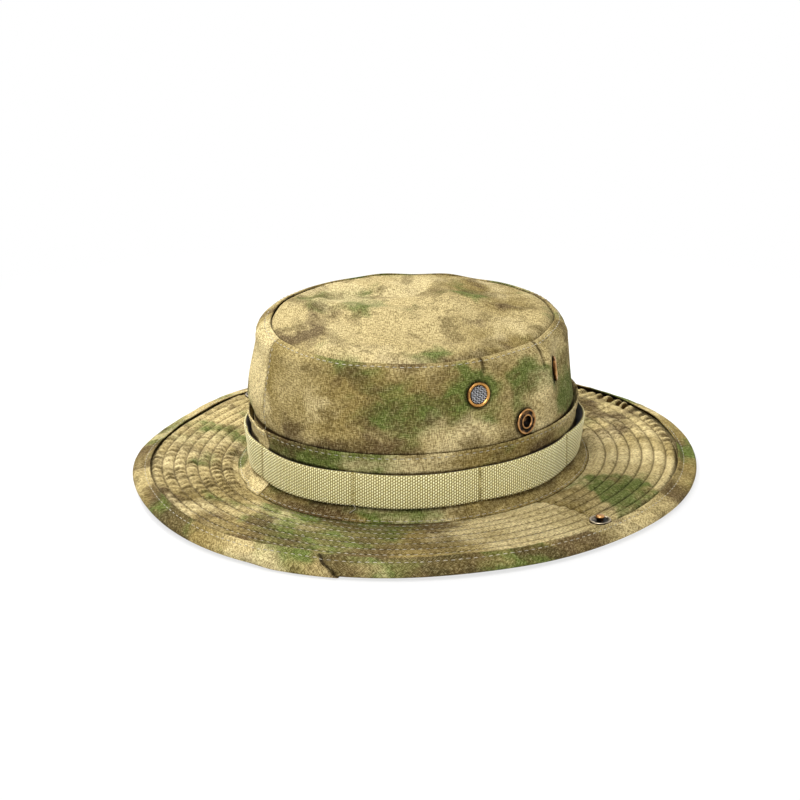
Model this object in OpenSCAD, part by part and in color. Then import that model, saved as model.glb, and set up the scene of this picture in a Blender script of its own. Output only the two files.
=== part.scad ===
// Boonie hat with a stitched brim whose two sides fold up and snap to the crown.
// Lengths are in millimetres. The front of the hat faces -Y, the wearer's right is -X,
// and the edge of the brim rests on the plane Z = 0.

/* [Crown] */
// Length of the head opening inside the sweatband, front to back
head_len = 192; // [180:1:204]
// Width of the head opening inside the sweatband
head_wid = 174; // [164:1:186]
// Height of the seam between the side and the top of the crown
crown_h = 91.4; // [84:0.2:106]
// Height of the round shoulder below the top seam
shoulder_h = 10; // [7:0.5:13]
// How far the side leans in from the brim up to the shoulder
crown_lean = 4.8; // [3:0.1:7]
// How far the shoulder rounds in to the top seam
shoulder_in = 7; // [5:0.1:9]
// Rise of the top panel above its seam
dome_rise = 3; // [1:0.5:6]
// Thickness of the crown cloth
cloth_t = 0.9; // [0.6:0.05:1.2]
// Turn of the back and front crown seams from the middle of the hat, in degrees
seam_turn = -18; // [-30:1:30]

/* [Sweatband] */
// Thickness of the sweatband
sweat_t = 1.4; // [1:0.1:2]
// Height of the sweatband
sweat_h = 30; // [22:1:36]

/* [Hat band] */
// Thickness of the camouflage strip round the crown
band_t = 1; // [0.7:0.1:1.4]
// Height of the strip above the brim
band_h = 37.2; // [34:0.2:39]
// How far the foot of the strip flares out over the brim
foot_w = 9.5; // [7:0.1:12]
// Height of the flared foot
foot_h = 6.8; // [5:0.1:8]

/* [Foliage loops] */
// Width of the webbing
loop_w = 19.5; // [15:0.5:25]
// Thickness of the webbing
loop_t = 1.4; // [1:0.1:1.8]
// How far a loop stands off the strip half way between two tacks
loop_bulge = 1.8; // [0.8:0.1:2.4]
// Turn from one tack to the next, in degrees
tack_pitch = 42.5; // [36:0.5:60]
// Turn of the first tack from the middle of the back, in degrees
tack_turn = -15; // [-30:1:30]

/* [Brim] */
// Width of the brim from the foot of the crown to its edge
brim_w = 63.7; // [60:0.1:74]
// Thickness of one ply of the brim
ply_t = 0.8; // [0.6:0.05:1]
// How far the edge of the brim rolls down
edge_roll = 3.7; // [2.5:0.1:5]
// How far the brim dips towards the crown
brim_dip = 2; // [1:0.1:2.4]
// Width of the dip beside the foot of the crown
dip_w = 22; // [14:1:28]

/* [Binding] */
// Width of the binding tape on each face of the brim
bind_w = 11; // [9:0.5:12]
// Thickness of the binding tape
bind_t = 0.8; // [0.6:0.05:1.2]

/* [Side folds] */
// Distance of the fold line from the foot of the crown
fold_out = 2; // [0.8:0.1:4]
// Height of the fold axis above the binding
fold_rise = 0.4; // [0.3:0.1:1]
// Gap along the fold line
fold_gap = 0.4; // [0.3:0.05:0.8]
// How far the edge of a folding side stays clear of the table
side_lift = 0.8; // [0.6:0.1:1.5]

/* [Screened vents] */
// Diameter of the rim of a vent
vent_d = 14.4; // [12:0.2:16]
// Width of the rim round the screen
vent_rim_w = 2; // [1.6:0.1:2.6]
// Height of the rim above the cloth
vent_rim_t = 1.2; // [0.9:0.1:1.6]
// Wall of the barrel that passes through the cloth
vent_wall = 0.5; // [0.4:0.05:0.7]
// Thickness of the washer inside the crown
vent_washer_t = 0.7; // [0.5:0.1:1]
// Thickness of the wire screen
screen_t = 0.4; // [0.3:0.05:0.6]
// Distance between the wires of the screen
screen_pitch = 1.4; // [1.2:0.1:2]
// Width of a wire of the screen
screen_wire = 0.5; // [0.4:0.05:0.7]
// Distance of each vent from the snap, along the hat
vent_along = 31; // [24:1:36]
// Distance of the rims below the shoulder of the crown
vent_drop = 1.7; // [1:0.1:4]

/* [Snaps] */
// Gap between the strip and the flange of the socket
socket_gap = 0.5; // [0.3:0.1:2]
// Diameter of the flange of the socket
socket_d = 14.8; // [12:0.2:15]
// Height of the flange of the socket above the cloth
socket_t = 1.5; // [1.2:0.1:2]
// Diameter of the hole in the socket
socket_bore = 6.6; // [6.2:0.1:7]
// Depth of the hole in the socket
socket_depth = 4.2; // [3.8:0.1:5]
// Wall of the barrel round the hole
socket_wall = 0.8; // [0.6:0.1:1.1]
// Thickness of the cap inside the crown
socket_cap_t = 0.7; // [0.5:0.1:1]
// Diameter of the flange of the stud
stud_d = 12.4; // [10:0.2:13]
// Thickness of the flange of the stud
stud_t = 1; // [0.8:0.1:1.2]
// Diameter of the head of the stud
stud_head = 4.6; // [4:0.1:4.8]
// Diameter of the neck of the stud
stud_neck = 3.8; // [3.2:0.1:4]
// Height of the head and neck above the flange
stud_h = 3.8; // [3.4:0.1:4]
// Diameter of the shank that passes through the brim
shank_d = 4; // [3.4:0.1:4.4]
// Thickness of the cap below the brim
stud_cap_t = 1.1; // [0.8:0.1:1.4]
// Gap between the stud's flange and the socket when they are snapped together
snap_gap = 1.3; // [1.2:0.1:1.8]

/* [Fits] */
// Gap between two layers of cloth on the crown
soft_fit = 0.3; // [0.25:0.05:0.4]
// Gap between two plies of the brim
ply_fit = 0.12; // [0.08:0.01:0.15]
// Gap between metal and cloth, or two pieces of metal
seat_fit = 0.15; // [0.1:0.05:0.2]
// Gap round a barrel or shank in its hole
hole_fit = 0.25; // [0.2:0.05:0.35]

/* [Hidden] */

// Number of facets round a full ring, across half a brim and across a folding side
ring_steps = 60;
brim_steps = 24;
flap_steps = 16;
loop_steps = 8;
dome_rings = 4;
$fn = 48;

RIGHT = -1;
LEFT = 1;
FRONT = -1;
BACK = 1;

// Ply numbers of the brim, counted from above
TOP = 0;
INNER = 1;
UNDER = 2;

// Heights of the brim: the stack of three plies lies on the binding at the edge
stack_t = 3 * ply_t + 2 * ply_fit;
bind_skin = ply_fit + bind_t;
edge_z = stack_t + bind_skin;
flat_z = edge_z + edge_roll;
join_z = flat_z - brim_dip;
band_z = join_z + soft_fit;
loop_z = band_z + foot_h;
band_top_z = band_z + band_h;

// The crown side starts level with the underside of the brim and rounds over at the shoulder
rim_z = join_z - stack_t;
shoulder_z = crown_h - shoulder_h;
vent_z = shoulder_z - vent_drop - vent_d / 2;
socket_z = band_top_z + socket_gap + socket_d / 2;
bulge_power = 2.5;
shoulder_turn = 60;
side_heights = [0, 0.4, 0.68, 0.87, 1];
shoulder_turns = [shoulder_turn / 2, shoulder_turn];

// Offsets are measured outwards from the oval of the head opening
crown_out = sweat_t + soft_fit + cloth_t;
foot_out = crown_out + foot_w;
edge_out = foot_out + brim_w;

// Rows of the crown side from the rim to the top seam: height, offset, turn of the normal
side_rows = concat(
    [for (u = side_heights)
        [rim_z + u * (shoulder_z - rim_z), crown_out - crown_lean * pow(u, bulge_power), 0]],
    [for (a = shoulder_turns)
        [shoulder_z + shoulder_h * sin(a) / sin(shoulder_turn),
         crown_out - crown_lean - shoulder_in * (1 - cos(a)) / (1 - cos(shoulder_turn)), a]]
);
side_table = [for (row = side_rows) [row[0], row[1]]];
top_out = side_rows[len(side_rows) - 1][1];

function crown_offset(z) = lookup(z, side_table);
function crown_tilt(z) = atan((crown_offset(z - 4) - crown_offset(z + 4)) / 8);
function half_wid(e) = head_wid / 2 + e;
function half_len(e) = head_len / 2 + e;
function oval(e, t, z) = [half_wid(e) * cos(t), half_len(e) * sin(t), z];
function facing(e, t) = atan2(sin(t) / half_len(e), cos(t) / half_wid(e));
function ring(e, z) = [for (i = [0 : ring_steps - 1]) oval(e, 360 * i / ring_steps, z)];

// The brim is laid out by the distance d inwards from its edge
edge_in = bind_skin;
roll_d = (edge_in + bind_w) / 2;
dip_d = brim_w - dip_w;
inner_d = brim_w + foot_w - soft_fit;
roll_share = pow((bind_w - roll_d) / (bind_w - edge_in), 2);
brim_table = [
    [edge_in, flat_z - edge_roll],
    [roll_d, flat_z - edge_roll * roll_share],
    [bind_w, flat_z],
    [dip_d, flat_z],
    [brim_w, join_z],
    [inner_d, join_z]
];
function lift(d, lifted) = lifted ? side_lift * max(0, 1 - d / bind_w) : 0;
function brim_z(d, lifted) = lookup(d, brim_table) + lift(d, lifted);

// The fold axis runs along Y beside the crown, just above the binding
fold_x = half_wid(foot_out) + fold_out;
fold_z = flat_z + bind_skin + fold_rise;
fold_tip = 0.4;
flap_d = half_wid(edge_out) - fold_x - fold_gap / 2 - fold_tip;
fixed_d = half_wid(edge_out) - fold_x + fold_gap / 2;
seam_half = 0.1;

// Angle at which the ring at distance d meets the fold line, on the fixed side or the folding side
function fold_angle(d, side) = acos(min(1, (fold_x + side * fold_gap / 2) / half_wid(edge_out - d)));
function fixed_angle(d) = max(seam_half, fold_angle(d, -1));
function flap_angle(d) = fold_angle(d, 1);

// A row of points along the fixed part of the brim, at the front or the back
function fixed_row(d, z, end) = [for (i = [0 : brim_steps])
    let (a = fixed_angle(d), t = a + (180 - 2 * a) * i / brim_steps)
    oval(edge_out - d, end == BACK ? t : t + 180, z)];

// A row of points along a folding side of the brim
function flap_row(d, z, side) = [for (i = [0 : flap_steps])
    let (a = flap_angle(d), t = a * (2 * i / flap_steps - 1))
    oval(edge_out - d, side == LEFT ? t : t + 180, z)];

// Outline of the binding round the edge of the brim: distance from the edge and height
function bind_outline(grow, lifted) = [
    [bind_w, brim_z(bind_w, lifted) - stack_t - grow],
    [roll_d, brim_z(roll_d, lifted) - stack_t - grow],
    [edge_in, brim_z(edge_in, lifted) - stack_t - grow],
    [bind_skin - grow, brim_z(edge_in, lifted) - stack_t + ply_t],
    [bind_skin - grow, brim_z(edge_in, lifted) - ply_t],
    [edge_in, brim_z(edge_in, lifted) + grow],
    [roll_d, brim_z(roll_d, lifted) + grow],
    [bind_w, brim_z(bind_w, lifted) + grow]
];

// The stud's place on the flap follows from the socket: it swings round the fold axis into the hole
socket_tilt = crown_tilt(socket_z);
socket_x = half_wid(crown_offset(socket_z));
socket_face = seat_fit + socket_t;
snap_reach = socket_face + snap_gap;
snap_in = fold_x - socket_x - snap_reach * cos(socket_tilt);
snap_up = socket_z + snap_reach * sin(socket_tilt) - fold_z;
snap_radius = sqrt(pow(snap_in, 2) + pow(snap_up, 2));

// The stud and its cap sit on the plies, or on the binding where their flanges reach it
flange_end = fold_x + snap_radius + stud_d / 2 + seat_fit;
stud_step = flange_end > half_wid(edge_out) - bind_w ? bind_skin : 0;
stud_z = flat_z + stud_step + seat_fit;
stud_drop = fold_z - stud_z - stud_t;
stud_x = fold_x + sqrt(pow(snap_radius, 2) - pow(stud_drop, 2));
fold_max = 90 + atan2(snap_in, snap_up) + asin(stud_drop / snap_radius);

// A flat flange on the curved crown stands off by the height of the arc that it spans
function arc_rise(r) = r * r / (2 * half_wid(0));

OLIVE = "#8f8455";
TAN = "#b3a274";
WEBBING = "#b9ad78";
LINING = "#6f6848";
BRASS = "#a8814a";
STEEL = "#8b8d90";
GUNMETAL = "#3b3632";

// Closed solid between two grids of points, whose rows run round the hat anticlockwise
module cloth(upper, lower, closed = false, capped = false) {
    rows = len(upper);
    cols = len(upper[0]);
    count = rows * cols;
    last = rows - 1;
    end = cols - 1;
    spans = closed ? cols : cols - 1;
    function up(r, c) = r * cols + c % cols;
    function low(r, c) = count + up(r, c);
    function quad(a, b, c, d) = [[a, b, c], [a, c, d]];
    faces = [
        for (r = [0 : last - 1], c = [0 : spans - 1])
            each quad(up(r, c), up(r + 1, c), up(r + 1, c + 1), up(r, c + 1)),
        for (r = [0 : last - 1], c = [0 : spans - 1])
            each quad(low(r, c), low(r, c + 1), low(r + 1, c + 1), low(r + 1, c)),
        for (c = [0 : spans - 1])
            each quad(up(0, c), up(0, c + 1), low(0, c + 1), low(0, c)),
        if (!capped) for (c = [0 : spans - 1])
            each quad(up(last, c + 1), up(last, c), low(last, c), low(last, c + 1)),
        if (!closed) for (r = [0 : last - 1])
            each quad(up(r + 1, 0), up(r, 0), low(r, 0), low(r + 1, 0)),
        if (!closed) for (r = [0 : last - 1])
            each quad(up(r, end), up(r + 1, end), low(r + 1, end), low(r, end)),
        if (capped) for (c = [1 : cols - 2])
            [up(last, 0), up(last, c + 1), up(last, c)],
        if (capped) for (c = [1 : cols - 2])
            [low(last, 0), low(last, c), low(last, c + 1)]
    ];
    points = [for (row = upper) each row, for (row = lower) each row];
    polyhedron(points, faces);
}

// Seat on the outside of the crown, with +Z pointing away from the cloth
module on_crown(side, along, z) {
    e = crown_offset(z);
    turn = asin(along / half_len(e));
    t = side == LEFT ? turn : 180 - turn;
    translate(oval(e, t, z))
        rotate([0, 90 - crown_tilt(z), facing(e, t)])
            children();
}

// Seat on the top of a folding side, over the place of its stud
module on_flap(side) {
    translate([side * stud_x, 0, flat_z])
        children();
}

// Top panel of the crown, slightly domed
module crown_top() {
    seam_z = crown_h + seat_fit;
    shares = [for (i = [0 : dome_rings]) 1 - 0.92 * i / dome_rings];
    function dome_row(f, down) = [for (i = [0 : ring_steps - 1])
        let (t = 360 * i / ring_steps)
        [half_wid(top_out) * f * cos(t), half_len(top_out) * f * sin(t),
         seam_z + cloth_t - down + dome_rise * (1 - f * f)]];
    color(TAN)
        cloth([for (f = shares) dome_row(f, 0)], [for (f = shares) dome_row(f, cloth_t)],
              closed = true, capped = true);
}

// One half of the crown side, with the holes of its vents and snap socket
module crown_side(side) {
    start = (side == RIGHT ? 90 : 270) + seam_turn + seam_half;
    sweep = 180 - 2 * seam_half;
    half_steps = ring_steps / 2;
    function side_row(e, z) = [for (i = [0 : half_steps]) oval(e, start + sweep * i / half_steps, z)];
    outside = [for (row = side_rows) side_row(row[1], row[0])];
    inside = [for (row = side_rows)
        side_row(row[1] - cloth_t * cos(row[2]), row[0] - cloth_t * sin(row[2]))];
    color(OLIVE)
        difference() {
            cloth(outside, inside);
            for (end = [FRONT, BACK])
                on_crown(side, end * vent_along, vent_z)
                    cylinder(d = vent_d - 2 * vent_rim_w + 2 * vent_wall + 2 * hole_fit,
                             h = 8 * cloth_t, center = true);
            on_crown(side, 0, socket_z)
                cylinder(d = socket_bore + 2 * socket_wall + 2 * hole_fit,
                         h = 8 * cloth_t, center = true);
        }
}

// Sweatband inside the rim of the crown
module sweatband() {
    heights = [rim_z, side_rows[1][0], rim_z + sweat_h];
    rows = heights[2] > heights[1] ? heights : [heights[0], heights[2]];
    skin = cloth_t + soft_fit;
    color(LINING)
        cloth([for (z = rows) ring(crown_offset(z) - skin, z)],
              [for (z = rows) ring(crown_offset(z) - skin - sweat_t, z)], closed = true);
}

// Camouflage strip round the crown, with its flared foot on the brim
module hat_band() {
    foot_rows = [for (u = [0, 0.45, 1])
        [band_z + u * foot_h, (foot_w - soft_fit - band_t) * pow(1 - u, 1.6)]];
    rows = concat(foot_rows, [[side_rows[1][0], 0], [band_top_z, 0]]);
    color(OLIVE)
        cloth([for (row = rows) ring(crown_offset(row[0]) + soft_fit + band_t + row[1], row[0])],
              [for (row = rows) ring(crown_offset(row[0]) + soft_fit, row[0])], closed = true);
}

// Webbing that is tacked to the strip and stands off between the tacks
module loop_band() {
    tack_count = ceil(360 / tack_pitch);
    tacks = [for (k = [0 : tack_count])
        90 + tack_turn + (k < tack_count ? k * tack_pitch : 360)];
    stations = [for (k = [0 : tack_count - 1], i = [0 : loop_steps - 1])
        let (f = i / loop_steps, span = tacks[k + 1] - tacks[k])
        [tacks[k] + span * f, loop_bulge * span / tack_pitch * sin(180 * f)]];
    skin = soft_fit + band_t + soft_fit;
    rows = [loop_z, side_rows[1][0], loop_z + loop_w];
    heights = rows[1] < rows[2] ? rows : [rows[0], rows[2]];
    function loop_row(z, grow) = [for (s = stations)
        oval(crown_offset(z) + skin + s[1] + grow, s[0], z)];
    color(WEBBING)
        cloth([for (z = heights) loop_row(z, loop_t)], [for (z = heights) loop_row(z, 0)],
              closed = true);
}

// One ply of the fixed part of the brim, at the front or the back
module brim_ply(ply, end) {
    rows = [edge_in, roll_d, bind_w, dip_d, flap_d, fixed_d, inner_d];
    drop = ply * (ply_t + ply_fit);
    color(ply == INNER ? LINING : TAN)
        cloth([for (d = rows) fixed_row(d, brim_z(d, false) - drop, end)],
              [for (d = rows) fixed_row(d, brim_z(d, false) - drop - ply_t, end)]);
}

// Binding round the edge of the fixed part of the brim
module brim_binding(end) {
    color(OLIVE)
        cloth([for (p = bind_outline(bind_skin, false)) fixed_row(p[0], p[1], end)],
              [for (p = bind_outline(ply_fit, false)) fixed_row(p[0], p[1], end)]);
}

// One ply of a folding side, with the hole for the shank of its stud
module flap_ply(ply, side) {
    rows = [edge_in, roll_d, bind_w, dip_d, flap_d];
    drop = ply * (ply_t + ply_fit);
    color(ply == INNER ? LINING : TAN)
        difference() {
            cloth([for (d = rows) flap_row(d, brim_z(d, true) - drop, side)],
                  [for (d = rows) flap_row(d, brim_z(d, true) - drop - ply_t, side)]);
            on_flap(side)
                cylinder(d = shank_d + 2 * hole_fit, h = 4 * stack_t, center = true);
        }
}

// Binding round the edge of a folding side
module flap_binding(side) {
    color(OLIVE)
        cloth([for (p = bind_outline(bind_skin, true)) flap_row(p[0], p[1], side)],
              [for (p = bind_outline(ply_fit, true)) flap_row(p[0], p[1], side)]);
}

// Stud on the brim: flange, necked head and the shank that passes through the plies
module stud(side) {
    neck_h = 0.55 * stud_h;
    shank_len = stack_t + 2 * stud_step + 2 * seat_fit;
    color(GUNMETAL)
        on_flap(side)
            translate([0, 0, stud_step + seat_fit])
                rotate_extrude()
                    polygon([
                        [0, -shank_len],
                        [shank_d / 2, -shank_len],
                        [shank_d / 2, 0],
                        [stud_d / 2 - 0.3 * stud_t, 0],
                        [stud_d / 2, 0.3 * stud_t],
                        [stud_d / 2, 0.6 * stud_t],
                        [stud_d / 2 - 0.6 * stud_t, stud_t],
                        [stud_neck / 2, stud_t],
                        [stud_neck / 2, stud_t + neck_h - 0.2 * stud_h],
                        [stud_head / 2, stud_t + neck_h],
                        [stud_head / 2, stud_t + 0.8 * stud_h],
                        [0.3 * stud_head, stud_t + stud_h],
                        [0, stud_t + stud_h]
                    ]);
}

// Domed cap below the brim, in which the shank ends
module stud_cap(side) {
    color(GUNMETAL)
        on_flap(side)
            translate([0, 0, -stack_t - stud_step - seat_fit])
                rotate_extrude()
                    polygon([
                        [0, -seat_fit],
                        [shank_d / 2 + seat_fit, -seat_fit],
                        [shank_d / 2 + seat_fit, 0],
                        [stud_d / 2 - 0.2 * stud_cap_t, 0],
                        [stud_d / 2, -0.3 * stud_cap_t],
                        [0.4 * stud_d, -0.85 * stud_cap_t],
                        [0.2 * stud_d, -stud_cap_t],
                        [0, -stud_cap_t]
                    ]);
}

// Snap socket on the crown: a ring with a raised rim round the blind hole of its barrel
module socket(side) {
    barrel = socket_bore / 2 + socket_wall;
    rim = 0.25 * socket_t;
    color(BRASS)
        on_crown(side, 0, socket_z)
            rotate_extrude()
                polygon([
                    [socket_bore / 2, socket_face],
                    [socket_bore / 2, socket_face - socket_depth],
                    [barrel, socket_face - socket_depth],
                    [barrel, seat_fit],
                    [socket_d / 2 - rim, seat_fit],
                    [socket_d / 2, seat_fit + rim],
                    [socket_d / 2, socket_face - 2 * rim],
                    [socket_d / 2 - rim, socket_face - rim],
                    [socket_d / 2 - 3 * rim, socket_face - rim],
                    [barrel + rim, socket_face - 1.5 * rim],
                    [barrel, socket_face]
                ]);
}

// Cap inside the crown that closes the barrel of the socket
module socket_cap(side) {
    barrel = socket_bore / 2 + socket_wall + seat_fit;
    seat = -cloth_t - arc_rise(socket_d / 2) - seat_fit;
    floor_z = min(seat - 2 * socket_cap_t, socket_face - socket_depth - seat_fit);
    color(BRASS)
        on_crown(side, 0, socket_z)
            rotate_extrude()
                polygon([
                    [0, floor_z],
                    [barrel, floor_z],
                    [barrel, seat],
                    [socket_d / 2, seat],
                    [socket_d / 2, seat - socket_cap_t],
                    [barrel + socket_cap_t, seat - socket_cap_t],
                    [barrel + socket_cap_t, floor_z - socket_cap_t / 2],
                    [barrel, floor_z - socket_cap_t],
                    [0, floor_z - socket_cap_t]
                ]);
}

// Rim of a vent, rolled on the outside, with the barrel that passes through the cloth
module vent_rim(side, end) {
    open_r = vent_d / 2 - vent_rim_w;
    barrel = open_r + vent_wall;
    washer_z = -cloth_t - arc_rise(vent_d / 2) - seat_fit - vent_washer_t - seat_fit;
    color(BRASS)
        on_crown(side, end * vent_along, vent_z)
            rotate_extrude()
                polygon([
                    [open_r, washer_z - vent_wall],
                    [barrel + vent_wall, washer_z - vent_wall],
                    [barrel + vent_wall, washer_z],
                    [barrel, washer_z],
                    [barrel, seat_fit],
                    [vent_d / 2 - 0.3 * vent_rim_t, seat_fit],
                    [vent_d / 2, seat_fit + 0.3 * vent_rim_t],
                    [vent_d / 2, seat_fit + 0.6 * vent_rim_t],
                    [vent_d / 2 - 0.3 * vent_rim_w, seat_fit + vent_rim_t],
                    [open_r + 0.2 * vent_rim_w, seat_fit + vent_rim_t],
                    [open_r, seat_fit + 0.8 * vent_rim_t]
                ]);
}

// Wire screen inside the rim of a vent
module vent_screen(side, end) {
    screen_r = vent_d / 2 - vent_rim_w - seat_fit;
    edge_w = screen_wire;
    hole = screen_pitch - screen_wire;
    reach = floor((screen_r - edge_w) / screen_pitch);
    color(STEEL)
        on_crown(side, end * vent_along, vent_z)
            translate([0, 0, seat_fit])
                linear_extrude(screen_t)
                    difference() {
                        circle(r = screen_r);
                        for (i = [-reach : reach], j = [-reach : reach])
                            if (norm([abs(i) * screen_pitch + hole / 2, abs(j) * screen_pitch + hole / 2])
                                < screen_r - edge_w)
                                translate([i * screen_pitch, j * screen_pitch])
                                    square(hole, center = true);
                    }
}

// Washer inside the crown, under the turned end of a vent's barrel
module vent_washer(side, end) {
    hole_r = vent_d / 2 - vent_rim_w + vent_wall + seat_fit;
    seat = -cloth_t - arc_rise(vent_d / 2) - seat_fit;
    color(BRASS)
        on_crown(side, end * vent_along, vent_z)
            translate([0, 0, seat - vent_washer_t])
                difference() {
                    cylinder(d = vent_d, h = vent_washer_t);
                    translate([0, 0, -vent_washer_t])
                        cylinder(r = hole_r, h = 3 * vent_washer_t);
                }
}

echo(fold_x = fold_x, fold_z = fold_z, fold_max = fold_max, stud_x = stud_x);

crown_top();
crown_side(RIGHT);  // crown_side_right
crown_side(LEFT);  // crown_side_left
sweatband();
hat_band();
loop_band();
brim_ply(TOP, FRONT);  // brim_top_front
brim_ply(TOP, BACK);  // brim_top_back
brim_ply(INNER, FRONT);  // brim_inner_front
brim_ply(INNER, BACK);  // brim_inner_back
brim_ply(UNDER, FRONT);  // brim_under_front
brim_ply(UNDER, BACK);  // brim_under_back
brim_binding(FRONT);  // binding_front
brim_binding(BACK);  // binding_back
flap_ply(TOP, RIGHT);  // right_flap_top
flap_ply(INNER, RIGHT);  // right_flap_inner
flap_ply(UNDER, RIGHT);  // right_flap_under
flap_binding(RIGHT);  // right_flap_binding
flap_ply(TOP, LEFT);  // left_flap_top
flap_ply(INNER, LEFT);  // left_flap_inner
flap_ply(UNDER, LEFT);  // left_flap_under
flap_binding(LEFT);  // left_flap_binding
stud(RIGHT);  // right_stud
stud_cap(RIGHT);  // right_stud_cap
stud(LEFT);  // left_stud
stud_cap(LEFT);  // left_stud_cap
socket(RIGHT);  // right_socket
socket_cap(RIGHT);  // right_socket_cap
socket(LEFT);  // left_socket
socket_cap(LEFT);  // left_socket_cap
vent_rim(RIGHT, FRONT);  // right_front_vent_rim
vent_screen(RIGHT, FRONT);  // right_front_vent_screen
vent_washer(RIGHT, FRONT);  // right_front_vent_washer
vent_rim(RIGHT, BACK);  // right_back_vent_rim
vent_screen(RIGHT, BACK);  // right_back_vent_screen
vent_washer(RIGHT, BACK);  // right_back_vent_washer
vent_rim(LEFT, FRONT);  // left_front_vent_rim
vent_screen(LEFT, FRONT);  // left_front_vent_screen
vent_washer(LEFT, FRONT);  // left_front_vent_washer
vent_rim(LEFT, BACK);  // left_back_vent_rim
vent_screen(LEFT, BACK);  // left_back_vent_screen
vent_washer(LEFT, BACK);  // left_back_vent_washer
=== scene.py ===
# %% [markdown]
# # A boonie hat, dressed over its working frame
# The frame holds the hat as it works: two sides of the brim fold up about a crease beside the crown and
# snap to it. Here every layer of cloth gets its real surface: quilting, puckers, seams, thread, webbing.
# Each piece is a formula over a grid of numbers, so a reader can change one value and see what it does.

# %% Load the frame
import math

import bpy
import numpy as np
from mathutils import Matrix, Vector


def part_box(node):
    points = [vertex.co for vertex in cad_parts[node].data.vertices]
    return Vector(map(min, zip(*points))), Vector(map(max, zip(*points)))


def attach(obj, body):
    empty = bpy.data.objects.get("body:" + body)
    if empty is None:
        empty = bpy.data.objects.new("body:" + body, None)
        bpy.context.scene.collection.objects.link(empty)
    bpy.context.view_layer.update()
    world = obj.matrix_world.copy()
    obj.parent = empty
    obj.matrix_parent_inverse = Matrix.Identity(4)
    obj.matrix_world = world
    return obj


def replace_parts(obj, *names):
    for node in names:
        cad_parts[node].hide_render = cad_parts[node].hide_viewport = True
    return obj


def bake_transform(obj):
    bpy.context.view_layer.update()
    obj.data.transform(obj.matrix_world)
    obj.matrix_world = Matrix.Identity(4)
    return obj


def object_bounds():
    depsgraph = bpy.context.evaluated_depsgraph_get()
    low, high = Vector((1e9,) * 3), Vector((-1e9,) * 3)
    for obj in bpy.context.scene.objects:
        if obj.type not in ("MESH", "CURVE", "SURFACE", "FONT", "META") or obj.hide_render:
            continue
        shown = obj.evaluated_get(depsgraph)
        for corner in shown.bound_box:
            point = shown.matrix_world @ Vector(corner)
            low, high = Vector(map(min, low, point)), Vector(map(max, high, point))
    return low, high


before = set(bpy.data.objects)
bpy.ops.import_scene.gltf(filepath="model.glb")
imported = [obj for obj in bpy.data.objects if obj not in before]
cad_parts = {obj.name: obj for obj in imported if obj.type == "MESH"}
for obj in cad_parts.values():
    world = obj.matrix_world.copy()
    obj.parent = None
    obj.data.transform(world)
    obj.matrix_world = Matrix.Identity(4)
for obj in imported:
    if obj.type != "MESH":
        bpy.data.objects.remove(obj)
cad_low, cad_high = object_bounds()
MM = 0.001

# %% [markdown]
# ## Measures taken from the frame
# A hat is laid out by ovals. Every oval here is longer than it is wide by the same amount, so one number,
# its half width, names it. The half widths and heights come from the frame's own boxes, and only the
# small turns of cloth that the frame leaves out are named as sizes of their own.

# %% Ovals and heights of the hat
LONGER = cad_high.y - cad_high.x
EDGE_W = cad_high.x
FOOT_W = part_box("hat_band")[1].x
FLAT_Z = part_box("brim_top_back")[1].z
UNDER_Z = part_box("brim_under_back")[1].z - FLAT_Z
RIM_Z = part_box("crown_side_right")[0].z
WALL_W = -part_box("crown_side_right")[0].x
SEAM_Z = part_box("crown_side_right")[1].z
SEAM_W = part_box("crown_top")[1].x
BAND_Z, BAND_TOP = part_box("hat_band")[0].z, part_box("hat_band")[1].z
TAPE_Z, TAPE_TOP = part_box("loop_band")[0].z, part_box("loop_band")[1].z
STUD_W = sum(v.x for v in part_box("left_stud")) / 2


def oval(w, t, z):
    """Points of the oval of half width w at angle t and height z: x = w cos t, y = (w + LONGER) sin t."""
    return np.stack(np.broadcast_arrays(w * np.cos(t), (w + LONGER) * np.sin(t), z), -1)


def unit(v):
    """Vectors made one long."""
    return v / np.linalg.norm(v, axis=-1, keepdims=True)


def outward(w, t):
    """Level direction square to the oval: the slope of (x / w)^2 + (y / (w + LONGER))^2, made one long."""
    return unit(np.stack(np.broadcast_arrays(np.cos(t) / w, np.sin(t) / (w + LONGER), 0.0 * t), -1))


print("half widths in mm: edge %.1f, foot %.1f, wall %.1f, seam %.1f" % tuple(
    w / MM for w in (EDGE_W, FOOT_W, WALL_W, SEAM_W)))

# %% [markdown]
# ## Camera
# The photograph looks down at the back right of the hat from a little way off, with a long lens. The
# camera stands on a line through the middle of the crown, and two small turns set the framing.

# %% Camera at the photograph's place
CAMERA_AZIMUTH = math.radians(135.25)
CAMERA_ELEVATION = math.radians(19.32)
CAMERA_DISTANCE = 1.295
CAMERA_AIM = Vector((0, 0, 0.05))
CAMERA_YAW, CAMERA_PITCH = 0.0066, -0.0066
CAMERA_LENS, CAMERA_SENSOR = 99.38, 36

away = Vector((math.cos(CAMERA_ELEVATION) * math.cos(CAMERA_AZIMUTH),
               math.cos(CAMERA_ELEVATION) * math.sin(CAMERA_AZIMUTH), math.sin(CAMERA_ELEVATION)))
camera = bpy.data.objects.new("camera", bpy.data.cameras.new("camera"))
camera.data.lens = CAMERA_LENS
camera.data.sensor_width = CAMERA_SENSOR
camera.matrix_world = (
    Matrix.Translation(CAMERA_AIM + away * CAMERA_DISTANCE)
    @ (-away).to_track_quat("-Z", "Y").to_matrix().to_4x4()
    @ Matrix.Rotation(CAMERA_YAW, 4, "Y") @ Matrix.Rotation(CAMERA_PITCH, 4, "X"))
bpy.context.scene.collection.objects.link(camera)
bpy.context.scene.camera = camera
print("camera at", tuple(round(x, 3) for x in camera.location))

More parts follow.
